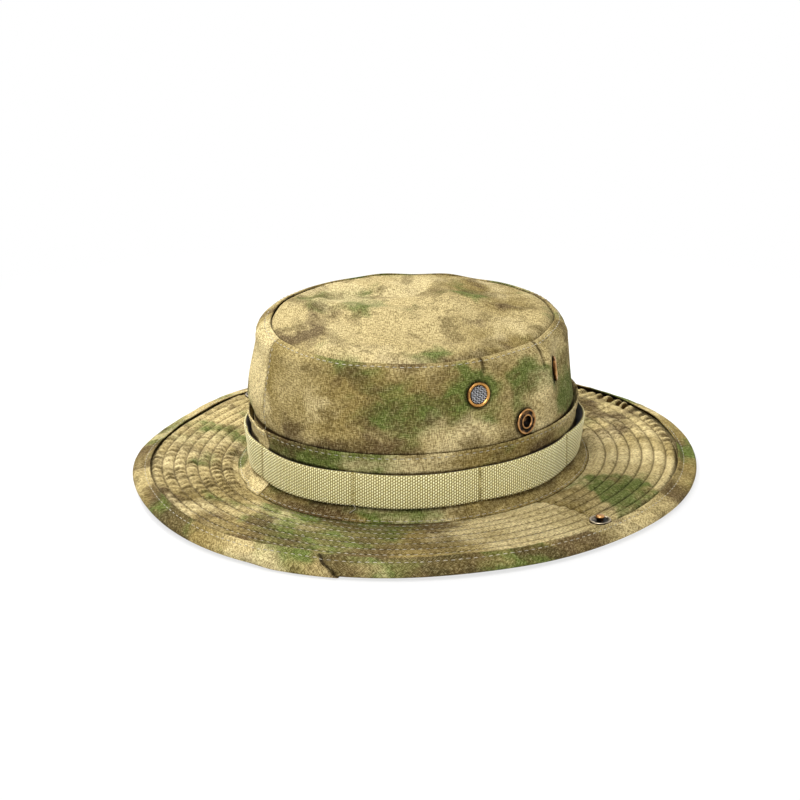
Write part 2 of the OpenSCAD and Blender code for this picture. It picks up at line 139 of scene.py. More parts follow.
# %% [markdown]
# ## Meshes from whole arrays
# A surface is a grid: one array of points and one array of quads that join neighbours. Blender takes both
# in one call each, which is far quicker than adding corners one by one. A cloth map in metres goes along,
# so that weave and print keep their true scale wherever the piece was cut from the roll.

# %% Grids and pieces
OTHER_WAY = [0, 3, 2, 1]


def grid_quads(rows, cols, ring=False, closed=False):
    """Quads that join neighbours on a grid of rows by cols points.

    A ring joins the last row to the first, and a closed grid joins the last column to the first. The
    corners in the order OTHER_WAY give the same quads turned over.
    """
    r, c = np.meshgrid(np.arange(rows - (not ring)), np.arange(cols - (not closed)), indexing="ij")
    on, beside = (r + 1) % rows, (c + 1) % cols
    return np.stack([r * cols + c, on * cols + c, on * cols + beside, r * cols + beside], -1).reshape(-1, 4)


def new_piece(name, points, faces, material, cloth=None):
    """A smooth mesh object from points (n, 3), a list of face arrays, and a cloth map by corner or point."""
    loops = np.concatenate([f.ravel() for f in faces]).astype(np.int32)
    sizes = np.concatenate([np.full(len(f), f.shape[1]) for f in faces])
    mesh = bpy.data.meshes.new(name)
    mesh.vertices.add(len(points))
    mesh.vertices.foreach_set("co", np.ascontiguousarray(points, np.float32).ravel())
    mesh.loops.add(len(loops))
    mesh.loops.foreach_set("vertex_index", loops)
    mesh.polygons.add(len(sizes))
    mesh.polygons.foreach_set("loop_start", (np.cumsum(sizes) - sizes).astype(np.int32))
    mesh.polygons.foreach_set("use_smooth", np.ones(len(sizes), bool))
    if cloth is not None:
        by_corner = cloth if len(cloth) == len(loops) else cloth[loops]
        mesh.uv_layers.new(name="cloth").data.foreach_set("uv", by_corner.astype(np.float32).ravel())
    mesh.update(calc_edges=True)
    mesh.validate()
    mesh.materials.append(material)
    piece = bpy.data.objects.new(name, mesh)
    bpy.context.scene.collection.objects.link(piece)
    return piece


print("quads on 3 by 4 points:", len(grid_quads(3, 4)), "and closed both ways:",
      len(grid_quads(3, 4, ring=True, closed=True)))

# %% [markdown]
# ### Closed strips and rings
# Cloth has two faces, so most pieces are a closed profile carried along a path. A strip is capped at both
# ends and a ring joins up. The cloth map of a ring is given corner by corner, so that it never has to run
# back over its whole length in the last column.

# %% Strips, rings and joins
TURN = 2 * math.pi


def closed_strip(loops):
    """Points and quads of closed loops (stations, around) carried along a path, with both ends capped.

    The first half of a loop is the outer face and the second half comes back along the inner face, so
    each end is closed by the quads between the two faces.
    """
    stations, around = loops.shape[:2]
    side = grid_quads(around, stations, ring=True)
    walk = np.arange(around * stations).reshape(around, stations)
    outer, inner = walk[:around // 2], walk[around // 2:][::-1]
    first = np.stack([outer[:-1, 0], inner[:-1, 0], inner[1:, 0], outer[1:, 0]], -1)
    last = np.stack([outer[:-1, -1], outer[1:, -1], inner[1:, -1], inner[:-1, -1]], -1)
    return loops.transpose(1, 0, 2).reshape(-1, 3), np.concatenate([side, first, last])


def closed_ring(loops):
    """Points and quads of closed loops (stations, around) carried once round and joined up."""
    return loops.reshape(-1, 3), grid_quads(*loops.shape[:2], ring=True, closed=True)


def ring_cloth(u, v):
    """Cloth map by corner for closed_ring: u has a value more than v has stations, so it never runs back."""
    s = np.repeat(np.arange(len(v)), v.shape[1])
    along = np.stack([u[s], u[s + 1], u[s + 1], u[s]], -1)
    across = v.ravel()[grid_quads(*v.shape, ring=True, closed=True)]
    return np.stack([along, across], -1).reshape(-1, 2)


def joined(parts):
    """Several tuples of points and face arrays as one, with the corner numbers moved up."""
    starts = np.cumsum([0] + [len(part[0]) for part in parts[:-1]])
    points, *kinds = zip(*parts)
    return np.concatenate(points), *[np.concatenate([f + s for f, s in zip(kind, starts)]) for kind in kinds]


def run_along(a, b):
    """Length run so far at each point of a line given by two arrays: the sum of its steps."""
    return np.concatenate([[0], np.cumsum(np.hypot(np.diff(a), np.diff(b)))])


def ring_angles(count):
    """Angles of count corners spread evenly round a ring."""
    return np.arange(count) / count * TURN


print("quads of a strip of 5 stations with 6 points each:", len(closed_strip(np.zeros((5, 6, 3)))[1]))

# %% [markdown]
# ### What a piece carries
# A closed mesh must face outwards, for light and for export. Each corner can carry numbers, such as how
# much painted shade it takes in a crease or gap, and the finish reads them. A single sheet takes its
# thickness from a modifier.


# %% Facing, numbers and thickness
def facing_out(piece):
    """Turns a closed piece's faces outwards where its signed volume says that they face in."""
    mesh = piece.data
    co = np.empty(len(mesh.vertices) * 3)
    mesh.vertices.foreach_get("co", co)
    mesh.calc_loop_triangles()
    corner = np.empty(len(mesh.loop_triangles) * 3, np.int32)
    mesh.loop_triangles.foreach_get("vertices", corner)
    a, b, c = (co.reshape(-1, 3)[corner.reshape(-1, 3)[:, k]] for k in range(3))
    if (a * np.cross(b, c)).sum() < 0:
        mesh.flip_normals()
    return piece


def add_value(piece, name, value):
    """Stores a number at every corner of a piece, for its finish to read."""
    stored = piece.data.attributes.new(name, "FLOAT", "POINT")
    every = np.broadcast_to(np.asarray(value, np.float32).ravel(), (len(piece.data.vertices),))
    stored.data.foreach_set("value", np.ascontiguousarray(every))
    return piece


def with_thickness(piece, thickness):
    """Gives a sheet its thickness, inwards from the drawn face."""
    solid = piece.modifiers.new("thickness", "SOLIDIFY")
    solid.thickness = thickness
    solid.offset = -1
    return piece


print("numbers for the finishes: shade and crease on cloth, raised on webbing, rub on metal")

# %% [markdown]
# ## Unevenness that repeats on every run
# Sewn cloth is never even. A lattice of seeded random heights, joined smoothly, gives bumps of a chosen
# size, and because the lattice wraps round, a ring of bumps closes without a step. Single bends and
# dents are bells: 1 in the middle and falling off on both sides.


# %% Smooth steps, bells and bumps
def ease(start, end, x):
    """0 before start, 1 after end, and a smooth step 3s^2 - 2s^3 between them."""
    s = np.clip((x - start) / (end - start), 0, 1)
    return s * s * (3 - 2 * s)


def bell(x, width, power=2):
    """1 where x is 0, falling off as e to the minus (x / width)^power; a high power flattens its top."""
    return np.exp(-(x / width) ** power)


def near_angle(t, middle, width, power=2):
    """A bell round the angle middle, of that width in radians, measured the short way round."""
    return bell((t - middle + math.pi) % TURN - math.pi, width, power)


def spots(t, places):
    """Sum of bells round the ring, each given by its angle and width in degrees and its height."""
    return sum(high * near_angle(t, math.radians(at), math.radians(wide)) for at, wide, high in places)


def bumps(u, v, cells_u, cells_v, seed):
    """Smooth random heights from -1 to 1 on a lattice that repeats after cells_u and cells_v cells."""
    table = np.random.default_rng(seed).uniform(-1, 1, (cells_v, cells_u))
    u, v = np.broadcast_arrays(np.asarray(u, float), np.asarray(v, float))
    i, j = np.floor(u).astype(int), np.floor(v).astype(int)
    a, b = ease(0, 1, u - i), ease(0, 1, v - j)
    low = table[j % cells_v, i % cells_u] * (1 - a) + table[j % cells_v, (i + 1) % cells_u] * a
    high = table[(j + 1) % cells_v, i % cells_u] * (1 - a) + table[(j + 1) % cells_v, (i + 1) % cells_u] * a
    return low * (1 - b) + high * b


def round_bumps(t, count, seed):
    """Bumps along a ring: count lattice cells in one turn of the angle t."""
    return bumps(t / TURN * count, 0.0 * t, count, 1, seed)


def skin_bumps(t, across, high, count, long, rows, seed):
    """Bumps of that height on a skin: count cells in one turn, and rows of cells of that length across."""
    return high * bumps(t / TURN * count, across / long, count, rows, seed)


print("a bell one width off its middle: %.2f" % bell(1.0, 1.0))

# %% [markdown]
# ## Finishes
# The cloth is a plain weave with uneven yarns and a soft blotched print of tans, green and brown. A class
# keeps the node trees short to write: every method adds a node, links or sets its sockets, and returns the
# output to use next.


# %% Helpers for node trees
class Tree:
    """A short way to write a material or a world: each call adds a node and returns the output in use."""

    def __init__(self, name, kind="materials"):
        self.owner = getattr(bpy.data, kind).new(name)
        self.owner.use_nodes = True
        self.nodes = self.owner.node_tree.nodes
        self.links = self.owner.node_tree.links
        self.shader = self.nodes.get("Principled BSDF") or self.nodes["Background"]

    def put(self, socket, value):
        """Links an output, or sets a plain value on the socket itself."""
        if isinstance(value, bpy.types.NodeSocket):
            self.links.new(value, socket)
        else:
            socket.default_value = value

    def node(self, kind, out=0, settings=None, **inputs):
        """Any node: an input goes by its name, or by its number as i0, i1 and so on."""
        made = self.nodes.new(kind)
        for key, value in (settings or {}).items():
            setattr(made, key, value)
        for key, value in inputs.items():
            self.put(made.inputs[int(key[1:]) if key[1:].isdigit() else key], value)
        return made.outputs[out]

    def math(self, operation, a, b=0.0):
        """One sum on two numbers."""
        return self.node("ShaderNodeMath", settings={"operation": operation}, i0=a, i1=b)

    def times(self, a, b):
        """The product of two numbers."""
        return self.math("MULTIPLY", a, b)

    def carried(self, name):
        """A number that the corners of the mesh carry."""
        return self.node("ShaderNodeAttribute", out=2, settings={"attribute_name": name})

    def cloth(self):
        """The place on the roll of cloth, in metres."""
        return self.node("ShaderNodeUVMap", settings={"uv_map": "cloth"})

    def place(self):
        """The place on the object, in metres."""
        return self.node("ShaderNodeTexCoord", out=3)

    def noise(self, vector, scale, detail=2.0, rough=0.5, flat=True):
        """Noise of about scale bumps in a metre, on a flat or in space."""
        return self.node("ShaderNodeTexNoise", settings={"noise_dimensions": "2D" if flat else "3D"},
                         Vector=vector, Scale=scale, Detail=detail, Roughness=rough)

    def band(self, value, start, end):
        """0 below start, 1 above end, smooth between."""
        return self.node("ShaderNodeMapRange", settings={"interpolation_type": "SMOOTHSTEP"},
                         Value=value, **{"From Min": start, "From Max": end})

    def between(self, share, low, high):
        """A number that goes from low to high with the share."""
        return self.node("ShaderNodeMapRange", Value=share, **{"To Min": low, "To Max": high})

    def mix(self, share, a, b, blend="MIX"):
        """Colour a turned into b by that share, or multiplied by it."""
        return self.node("ShaderNodeMix", out=2, settings={"data_type": "RGBA", "blend_type": blend},
                         i0=share, i6=a, i7=b)

    def mapped(self, vector, scale=(1, 1, 1), shift=(0, 0, 0)):
        """A place stretched by scale and moved by shift."""
        return self.node("ShaderNodeMapping", Vector=vector, Scale=scale, Location=shift)

    def bump(self, height, strength, distance):
        """The normal of a surface raised by that height."""
        return self.node("ShaderNodeBump", Height=height, Strength=strength, Distance=distance)

    def finish(self, **sockets):
        """Fills the shader's sockets, with _ for a space in a name, and returns the material or world."""
        for key, value in sockets.items():
            self.put(self.shader.inputs[key.replace("_", " ")], value)
        return self.owner


def paint(red, green, blue):
    """A colour written as it looks on a screen, 0 to 255, turned into the linear values that light uses."""
    share = np.array([red, green, blue]) / 255
    linear = np.where(share <= 0.04045, share / 12.92, ((share + 0.055) / 1.055) ** 2.4)
    return (*linear.tolist(), 1.0)


print("half of white on a screen is %.3f as light" % paint(128, 128, 128)[0])

# %% [markdown]
# ### Blotched cloth
# Printed cloth gets its colours from screens, one over the other. Here a screen is a noise cut to a soft
# band of its heights, so no motif repeats and the layout is this hat's own. The ground drifts between two
# tans, then green, brown, pale and fine dull blotches lie over it. Yarns, specks and slubs go into the
# colour and the bump at their real pitch.

# %% Camouflage cloth
WEAVE_PITCH = 0.95 * MM
GROUND_DARK, GROUND_LIGHT = paint(153, 134, 82), paint(215, 196, 144)
# The last colour here is the brown of painted shade.
SAND, SLUB, PAINTED_SHADE_COLOUR = paint(236, 218, 168), paint(236, 222, 168), paint(84, 70, 46)
GRAIN_DARK, GRAIN_LIGHT = paint(145, 138, 121), paint(244, 244, 238)
# A screen: its ink, its strength, blotches in a metre, the band of heights that it takes, its place.
PRINT = ((paint(92, 114, 50), 0.85, 13.0, 0.50, 0.63, (3.1, 1.7)),
         (paint(90, 70, 48), 0.80, 17.0, 0.52, 0.66, (7.7, 4.2)),
         (SAND, 0.70, 14.0, 0.53, 0.70, (1.3, 9.4)),
         (paint(112, 96, 58), 0.55, 46.0, 0.50, 0.66, (5.2, 6.1)))
BLOT_STRETCH = (1.0, 1.35, 1.0)
STRAY_SCALE, STRAY = 70.0, 0.012
DRIFT_SCALE, DRIFT_BAND, DRIFT_SHADE = 8.0, (0.34, 0.66), 0.6
SPECK_SCALE, SPECK_SHARE = 2300.0, 0.26
YARN_SCALE, YARN_SHARE, YARN_WAYS = 1800.0, 0.37, ((1.0, 0.2, 1.0), (0.2, 1.0, 1.0))
GRAIN_BAND, GRAIN_SHARE = (0.42, 0.58), 0.9
SLUB_BAND, SLUB_SHARE, SLUB_HIGH = (0.64, 0.76), 0.16, 0.4
# How far painted shade darkens the cloth, and how high the weave stands.
PAINTED_SHADE_SHARE, WEAVE_HIGH = 0.8, 0.25


def woven(tree, cloth):
    """Height of a plain weave: a cosine along times a cosine across, so that yarns pass in a chequer."""
    axes = [tree.node("ShaderNodeSeparateXYZ", out=axis, Vector=cloth) for axis in (0, 1)]
    return tree.times(*[tree.math("COSINE", tree.times(axis, TURN / WEAVE_PITCH)) for axis in axes])


def camouflage():
    """Soft screens over a drifting ground, then speckle, streaks and slubs of both sets of yarn.

    The attribute "shade" moves every threshold, so a place can be more or less inked. The other number that
    the corners carry darkens the colour towards a brown, as painted shade in creases, grooves and gaps.
    """
    tree = Tree("camouflage_cloth")
    cloth, shade = tree.cloth(), tree.carried("shade")
    stray = tree.times(tree.noise(cloth, STRAY_SCALE, detail=3.0, rough=0.6), STRAY)
    wide = tree.node("ShaderNodeVectorMath", settings={"operation": "ADD"},
                     i0=tree.mapped(cloth, scale=BLOT_STRETCH), i1=stray)
    drift = tree.noise(wide, DRIFT_SCALE, detail=3.0, rough=0.55)
    drift = tree.math("ADD", drift, tree.times(shade, DRIFT_SHADE))
    colour = tree.mix(tree.band(drift, *DRIFT_BAND), GROUND_DARK, GROUND_LIGHT)
    for ink, share, scale, start, end, place in PRINT:
        blot = tree.noise(tree.mapped(wide, shift=(*place, 0)), scale, detail=3.0, rough=0.6)
        blot = tree.math("ADD" if ink == SAND else "SUBTRACT", blot, shade)
        colour = tree.mix(tree.times(tree.band(blot, start, end), share), colour, ink)
    speck = tree.noise(cloth, SPECK_SCALE, detail=1.0, rough=0.6)
    streaks = [tree.noise(tree.mapped(cloth, scale=way), YARN_SCALE, detail=1.0, rough=0.6)
               for way in YARN_WAYS]
    yarn = tree.times(tree.math("ADD", *streaks), YARN_SHARE)
    grain = tree.math("ADD", tree.times(speck, SPECK_SHARE), yarn)
    tone = tree.mix(tree.band(grain, *GRAIN_BAND), GRAIN_DARK, GRAIN_LIGHT)
    colour = tree.mix(GRAIN_SHARE, colour, tone, "MULTIPLY")
    slubs = tree.math("MAXIMUM", *[tree.band(streak, *SLUB_BAND) for streak in streaks])
    colour = tree.mix(tree.times(slubs, SLUB_SHARE), colour, SLUB)
    # Painted shade: creases, grooves and gaps are darkened towards a brown.
    colour = tree.mix(tree.times(tree.carried("painted_shade"), PAINTED_SHADE_SHARE), colour, PAINTED_SHADE_COLOUR, "MULTIPLY")
    height = tree.math("ADD", tree.times(woven(tree, cloth), WEAVE_HIGH),
                       tree.math("ADD", tree.times(slubs, SLUB_HIGH), grain))
    return tree.finish(Base_Color=colour, Roughness=0.95, Specular_IOR_Level=0.08,
                       Normal=tree.bump(height, strength=0.5, distance=0.25 * MM))


CAMOUFLAGE = camouflage()
print("screens of the print:", len(PRINT), "over a ground of two tans")

# %% [markdown]
# ### Webbing and thread
# Webbing is one khaki yarn with lighter and darker picks. Painted shade lies between the picks, where no
# light reaches, in the pinch beside each tack and, darkest, on the hidden back. Thread is pale and slightly
# shiny, with flecks where its fibres stand up.

# %% Khaki webbing and thread
WEB_YARN = (paint(228, 219, 158), paint(255, 250, 208))
# A dull tone of the yarn; painted shade between the picks and, darkest, on the hidden back.
WEB_DULL, WEB_BETWEEN_SHADE, WEB_BACK_SHADE = paint(204, 194, 136), paint(132, 118, 58), paint(38, 34, 20)
PICK_STRETCH, PICK_SCALE, PICK_BAND = (1.0, 2.0, 1.0), 700.0, (0.3, 0.7)
DULL_SCALE, DULL_BAND, DULL_SHARE = 30.0, (0.35, 0.7), 0.20
BETWEEN_BAND, BACK_SHADE_BAND = (0.42, 0.04), (-0.2, -0.8)
FIBRE_STRETCH, FIBRE_SCALE = (1.0, 3.0, 1.0), 1800.0
FLECK_SCALE, FLECK_BAND = 420.0, (0.3, 0.7)


def khaki_webbing():
    """Picks of two tones under a dull drift; painted shade between the picks, darkest on the hidden back.

    The attribute "raised" is 1 on top of a pick, 0 between two picks and -1 on the back.
    """
    tree = Tree("khaki_webbing")
    cloth, raised = tree.cloth(), tree.carried("raised")
    pick = tree.noise(tree.mapped(cloth, scale=PICK_STRETCH), PICK_SCALE, rough=0.6)
    colour = tree.mix(tree.band(pick, *PICK_BAND), *WEB_YARN)
    drift = tree.band(tree.noise(cloth, DULL_SCALE), *DULL_BAND)
    colour = tree.mix(tree.times(drift, DULL_SHARE), colour, WEB_DULL)
    # Painted shade between the picks, and darkest on the hidden back.
    colour = tree.mix(tree.band(raised, *BETWEEN_BAND), colour, WEB_BETWEEN_SHADE)
    colour = tree.mix(tree.band(raised, *BACK_SHADE_BAND), colour, WEB_BACK_SHADE)
    fibres = tree.noise(tree.mapped(cloth, scale=FIBRE_STRETCH), FIBRE_SCALE)
    return tree.finish(Base_Color=colour, Roughness=0.8, Sheen_Weight=0.1, Specular_IOR_Level=0.3,
                       Normal=tree.bump(fibres, strength=0.4, distance=0.15 * MM))


def sewing_thread(name, dark, light):
    """Thread flecked between a dark and a light tone."""
    tree = Tree(name)
    fleck = tree.noise(tree.place(), FLECK_SCALE, rough=0.6, flat=False)
    return tree.finish(Base_Color=tree.mix(tree.band(fleck, *FLECK_BAND), dark, light), Roughness=0.65,
                       Specular_IOR_Level=0.35)


WEBBING = khaki_webbing()
THREAD = sewing_thread("pale_thread", paint(118, 112, 94), paint(180, 173, 152))
KHAKI_THREAD = sewing_thread("khaki_thread", paint(112, 98, 48), paint(222, 208, 146))
print("yarn finishes:", WEBBING.name, THREAD.name, KHAKI_THREAD.name)

# %% [markdown]
# ### Lining and metals
# The sweatband is plain cotton. The snaps are antique brass: a dark stain lies in the low places, and use
# has rubbed the rims bright. A number at each corner tells how much it is rubbed; its low values at the
# foot of a piece, where it meets the cloth, also stand for painted shade.

# %% Lining and metals
LINING_DARK, LINING_LIGHT = paint(112, 104, 72), paint(150, 140, 102)
LINING_STRETCH, LINING_SCALE, LINING_BAND = (1.0, 6.0, 1.0), 260.0, (0.3, 0.7)
STAIN_SCALE, STAIN_BAND, RUB_AND_SHADE_SHARE, FINER = 220.0, (0.5, 0.9), 0.35, 8


def lining_cloth():
    """Plain weave with slubs that run along the band."""
    tree = Tree("sweatband_cloth")
    cloth = tree.cloth()
    slub = tree.noise(tree.mapped(cloth, scale=LINING_STRETCH), LINING_SCALE, detail=3.0, rough=0.6)
    colour = tree.mix(tree.band(slub, *LINING_BAND), LINING_DARK, LINING_LIGHT)
    height = tree.math("ADD", woven(tree, cloth), slub)
    return tree.finish(Base_Color=colour, Roughness=0.92, Sheen_Weight=0.2,
                       Normal=tree.bump(height, strength=0.5, distance=0.2 * MM))


def metal(name, dark, light, rough_low, rough_high, scale=STAIN_SCALE):
    """Stained metal: noise and the corners' number of rubbing and painted shade mix a dark and a bright
    tone, and set the roughness.
    """
    tree = Tree(name)
    place = tree.place()
    stain = tree.noise(place, scale, detail=4.0, rough=0.6, flat=False)
    # Low rubbing leaves the dark tone: stain, and painted shade at the foot of a piece.
    stain = tree.math("ADD", stain, tree.times(tree.carried("rub_and_shade"), RUB_AND_SHADE_SHARE))
    share = tree.band(stain, *STAIN_BAND)
    fine = tree.noise(place, scale * FINER, flat=False)
    return tree.finish(Base_Color=tree.mix(share, dark, light), Metallic=1.0,
                       Roughness=tree.between(share, rough_high, rough_low),
                       Normal=tree.bump(fine, strength=0.15, distance=0.05 * MM))


LINING = lining_cloth()
BRASS = metal("golden_brass", paint(62, 37, 18), paint(208, 154, 86), 0.24, 0.45)
AGED_BRASS = metal("aged_brass", paint(30, 25, 22), paint(190, 142, 90), 0.28, 0.5)
GUNMETAL = metal("dark_snap_metal", paint(20, 18, 17), paint(170, 156, 132), 0.3, 0.5)
WIRE = metal("screen_wire", paint(190, 190, 192), paint(240, 240, 244), 0.3, 0.5, 900.0)
print("metals:", BRASS.name, AGED_BRASS.name, GUNMETAL.name, WIRE.name)

# %% [markdown]
# ## Thread
# A machine stitch is a short length of thread that dips into the cloth at both ends. Five rings of five
# corners are enough for each, since a hat has thousands; the two outer rings are small and sunken.

# %% Rows of stitches
STITCH_PITCH, STITCH_LENGTH = 4.1 * MM, 3.1 * MM
THREAD_R = 0.26 * MM
RING_SHARE = np.array([-0.5, -0.3, 0.0, 0.3, 0.5])
RING_SWELL = np.array([0.3, 0.85, 1.0, 0.85, 0.3])
RING_LIFT = np.array([-1.2, -0.1, 0.25, -0.1, -1.2])
RING_CORNERS = 5
STITCH_POINTS = RING_CORNERS * len(RING_SHARE)


def tubes_at(here, lead, side, up, length, radius):
    """One tube at each place: five rings along its length, which swell and lift by shares of the radius.

    Each end is capped by a quad and a triangle on the five corners of its ring.
    """
    ring = ring_angles(RING_CORNERS)
    swell, lift = (RING_SWELL * radius)[:, None], (RING_LIFT * radius)[:, None]
    x = (RING_SHARE * length)[None, :, None, None] * lead[:, None, None, :]
    y = (swell * np.cos(ring))[None, :, :, None] * side[:, None, None, :]
    z = (lift + swell * np.sin(ring))[None, :, :, None] * up[:, None, None, :]
    points = (here[:, None, None, :] + x + y + z).reshape(-1, 3)
    first = np.arange(RING_CORNERS)
    last = first + STITCH_POINTS - RING_CORNERS
    quads = grid_quads(len(RING_SHARE), RING_CORNERS, closed=True)[:, OTHER_WAY]
    quads = np.concatenate([quads, [first[[4, 3, 2, 1]], last[[0, 1, 2, 3]]]])
    tips = np.stack([first[[4, 1, 0]], last[[0, 3, 4]]])
    starts = np.arange(len(here))[:, None, None] * STITCH_POINTS
    return points, (quads + starts).reshape(-1, 4), (tips + starts).reshape(-1, 3)


def stitches(path, normal, pitch=STITCH_PITCH, length=STITCH_LENGTH, radius=THREAD_R, slant=0.0):
    """Stitches laid end to end along a path of points, standing on the surface whose normal is given.

    Stations lie one pitch apart by arc length, and the path's course over a quarter of a pitch gives the way
    ahead; slant turns each stitch in the plane of the cloth.
    """
    step = np.linalg.norm(np.diff(path, axis=0), axis=1)
    along = np.concatenate([[0], np.cumsum(step)])
    count = max(1, int(along[-1] / pitch))
    at = (np.arange(count) + 0.5) * along[-1] / count

    def follow(values, run):
        """Values of the path's points at lengths run so far, on straight lines between the points."""
        return np.stack([np.interp(run, along, axis) for axis in values.T], -1)

    lead = unit(follow(path, at + pitch / 8) - follow(path, at - pitch / 8))
    up = follow(normal, at)
    up = unit(up - (up * lead).sum(1, keepdims=True) * lead)
    side = np.cross(up, lead)
    lead, side = (lead * math.cos(slant) + side * math.sin(slant),
                  side * math.cos(slant) - lead * math.sin(slant))
    return tubes_at(follow(path, at), lead, side, up, length, radius)


def thread_piece(name, rows, material=THREAD):
    """All the stitches of a list of rows as one piece."""
    points, quads, tips = joined(rows)
    piece = new_piece(name, points, [quads, tips], material)
    print(name, "stitches:", len(points) // STITCH_POINTS)
    return piece


print("points of one stitch:", STITCH_POINTS)

# %% [markdown]
# ## Brim
# The brim is three plies sewn together with rings of stitching, and a tape binds its edge. It lies nearly
# level, dips beside the crown and rolls down at the edge. Wear has bent it: a droop on the far side, and
# bends of the edge that a table of bells describes. The folding sides stay flat where they snap.

# %% Shape of the brim
BIND_W = 11.0 * MM
BRIM_DIP, DIP_W = 2.0 * MM, 22.0 * MM
EDGE_ROLL, SIDE_LIFT = 3.7 * MM, 0.8 * MM
ROW_FIRST, ROW_STEP, ROW_COUNT = 2.6 * MM, 7.15 * MM, 7
VIEWED = math.radians(135)
SNAP_WIDTH = math.radians(17)
ROLL_MEAN, ROLL_SWAY = 1.9 * MM, 1.8 * MM
FAR_DROOP, FAR_WIDTH, FAR_REACH = 3.6 * MM, math.radians(50), 1.2
EDGE_BENDS = ((62, 20, 3.0 * MM), (150, 14, 0.9 * MM), (213, 22, -1.2 * MM), (270, 18, -1.3 * MM),
              (28, 12, -1.4 * MM), (12, 11, -2.4 * MM))
DRAW_MEAN, DRAW_SWAY, DRAW_FROM = -1.6 * MM, 2.2 * MM, math.radians(166)
DRAWN_OUT = ((108, 30, 2.4 * MM),)
stitch_w = FOOT_W + ROW_FIRST + ROW_STEP * np.arange(ROW_COUNT)


def snap_flat(t):
    """1 at the middle of each folding side, which lies flat to reach its socket, and 0 away from it."""
    return np.maximum(near_angle(t, 0.0, SNAP_WIDTH), near_angle(t, math.pi, SNAP_WIDTH))


def brim_share(w):
    """Share of the way out across the brim, from the foot of the band to the edge."""
    return np.clip((w - FOOT_W) / (EDGE_W - FOOT_W), 0, 1)


def brim_level(w, t):
    """Height of the brim's top ply: level, dipping beside the crown, rolling down under the binding.

    The roll is deepest towards the camera and least on the far side, where the brim droops instead; a few
    bends of the edge are bells round an angle, growing with the cube of the share of the way out.
    """
    dip = BRIM_DIP * ease(FOOT_W + DIP_W, FOOT_W, w)
    out = np.clip((w - EDGE_W + BIND_W) / BIND_W, 0, 1)
    flat = snap_flat(t)
    roll = (ROLL_MEAN + ROLL_SWAY * np.cos(t - VIEWED)) * (1 - flat) + (EDGE_ROLL - SIDE_LIFT) * flat
    far = near_angle(t, VIEWED + math.pi, FAR_WIDTH)
    droop = FAR_DROOP * far * np.clip(brim_share(w) * FAR_REACH, 0, 1) ** 2
    bends = spots(t, EDGE_BENDS)
    return FLAT_Z - dip - roll * out ** 2 + (bends * brim_share(w) ** 3 - droop) * (1 - flat)


def brim_oval(w, t, z):
    """A point of the brim: its oval, drawn in a little on the far side by the square of the way out."""
    draw = DRAW_MEAN + DRAW_SWAY * np.cos(t - DRAW_FROM) + spots(t, DRAWN_OUT)
    draw = draw * (1 - snap_flat(t))
    return oval(w + draw * brim_share(w) ** 2, t, z)


print("stitch rows at", np.round(stitch_w / MM, 1), "mm")

# %% [markdown]
# ### Puff and puckers
# Between two rings of stitching the cloth puffs up. Where the feed of the machine pushed the top ply along,
# it puckers into short bricks: rounded ridges of uneven length that lean over into creases. Painted shade
# darkens the steep side of each ridge, the grooves of the rings and the trench inside the binding's lip.
# The rings are lines of the grid, so their grooves stay sharp. A stud needs flat cloth, so the relief fades
# out there.

# %% Relief between the rings of stitching
PUFF, PUFF_POWER, PUFF_UNEVEN = 1.7 * MM, 0.75, 0.25
PRESSED, PRESSED_AT = 0.3, (math.radians(128), math.radians(48))
PUCKER, PUCKER_POWER, PUCKER_SUNK = 3.0 * MM, 0.35, 0.55
BRICKS, BRICK_SHIFT, BRICK_WANDER, BRICK_SLANT = 118, 0.76, 0.3, 0.5
BRICK_SIZE, BRICK_UNEVEN = 0.75, 0.45
TUCK_LEAN, TUCK_ROUND = 1.6, 0.8
# Painted shade on the steep side of a brick: its strength, its place on the brick and its width.
TUCK_SHADE, TUCK_SHADE_AT, TUCK_SHADE_W = 1.4, 0.92, 0.17
NEAR_TUCKS, NEAR_SHARE = (math.radians(56), math.radians(24), 4), 0.58
FAR_TUCKS, FAR_LAST, FAR_INNER = (math.radians(258), math.radians(33), 6), 1.3, 0.3
WANDER_CELLS, SLANT_CELLS, SIZE_CELLS, PUFF_CELLS = 110, 36, 90, 40
TRENCH, TRENCH_W = 1.5 * MM, 1.7 * MM
# Width of the painted shade along each groove of stitching.
GROOVE_W = 0.55 * MM
STUD_CLEAR = (6 * MM, 11 * MM)
RELIEF_END = (EDGE_W - BIND_W + 0.2 * MM, EDGE_W - BIND_W - 1.3 * MM)
SEAM_SINK, SEAM_HIDDEN = 0.7 * MM, 4 * MM
# DARKEST is the most painted shade that any place takes.
DARKEST = 1.25
HAIR = 1e-7


def puckered(t, channel):
    """Share of puckering: alike in all channels of the near stretch, mostly the last of the far stretch."""
    far = np.where(channel == ROW_COUNT, FAR_LAST, FAR_INNER)
    return NEAR_SHARE * near_angle(t, *NEAR_TUCKS) + far * near_angle(t, *FAR_TUCKS)


def puffed(t):
    """Share of puff at angle t: the quarter that was pressed flat has little."""
    return PRESSED + (1 - PRESSED) * (1 - near_angle(t, *PRESSED_AT))


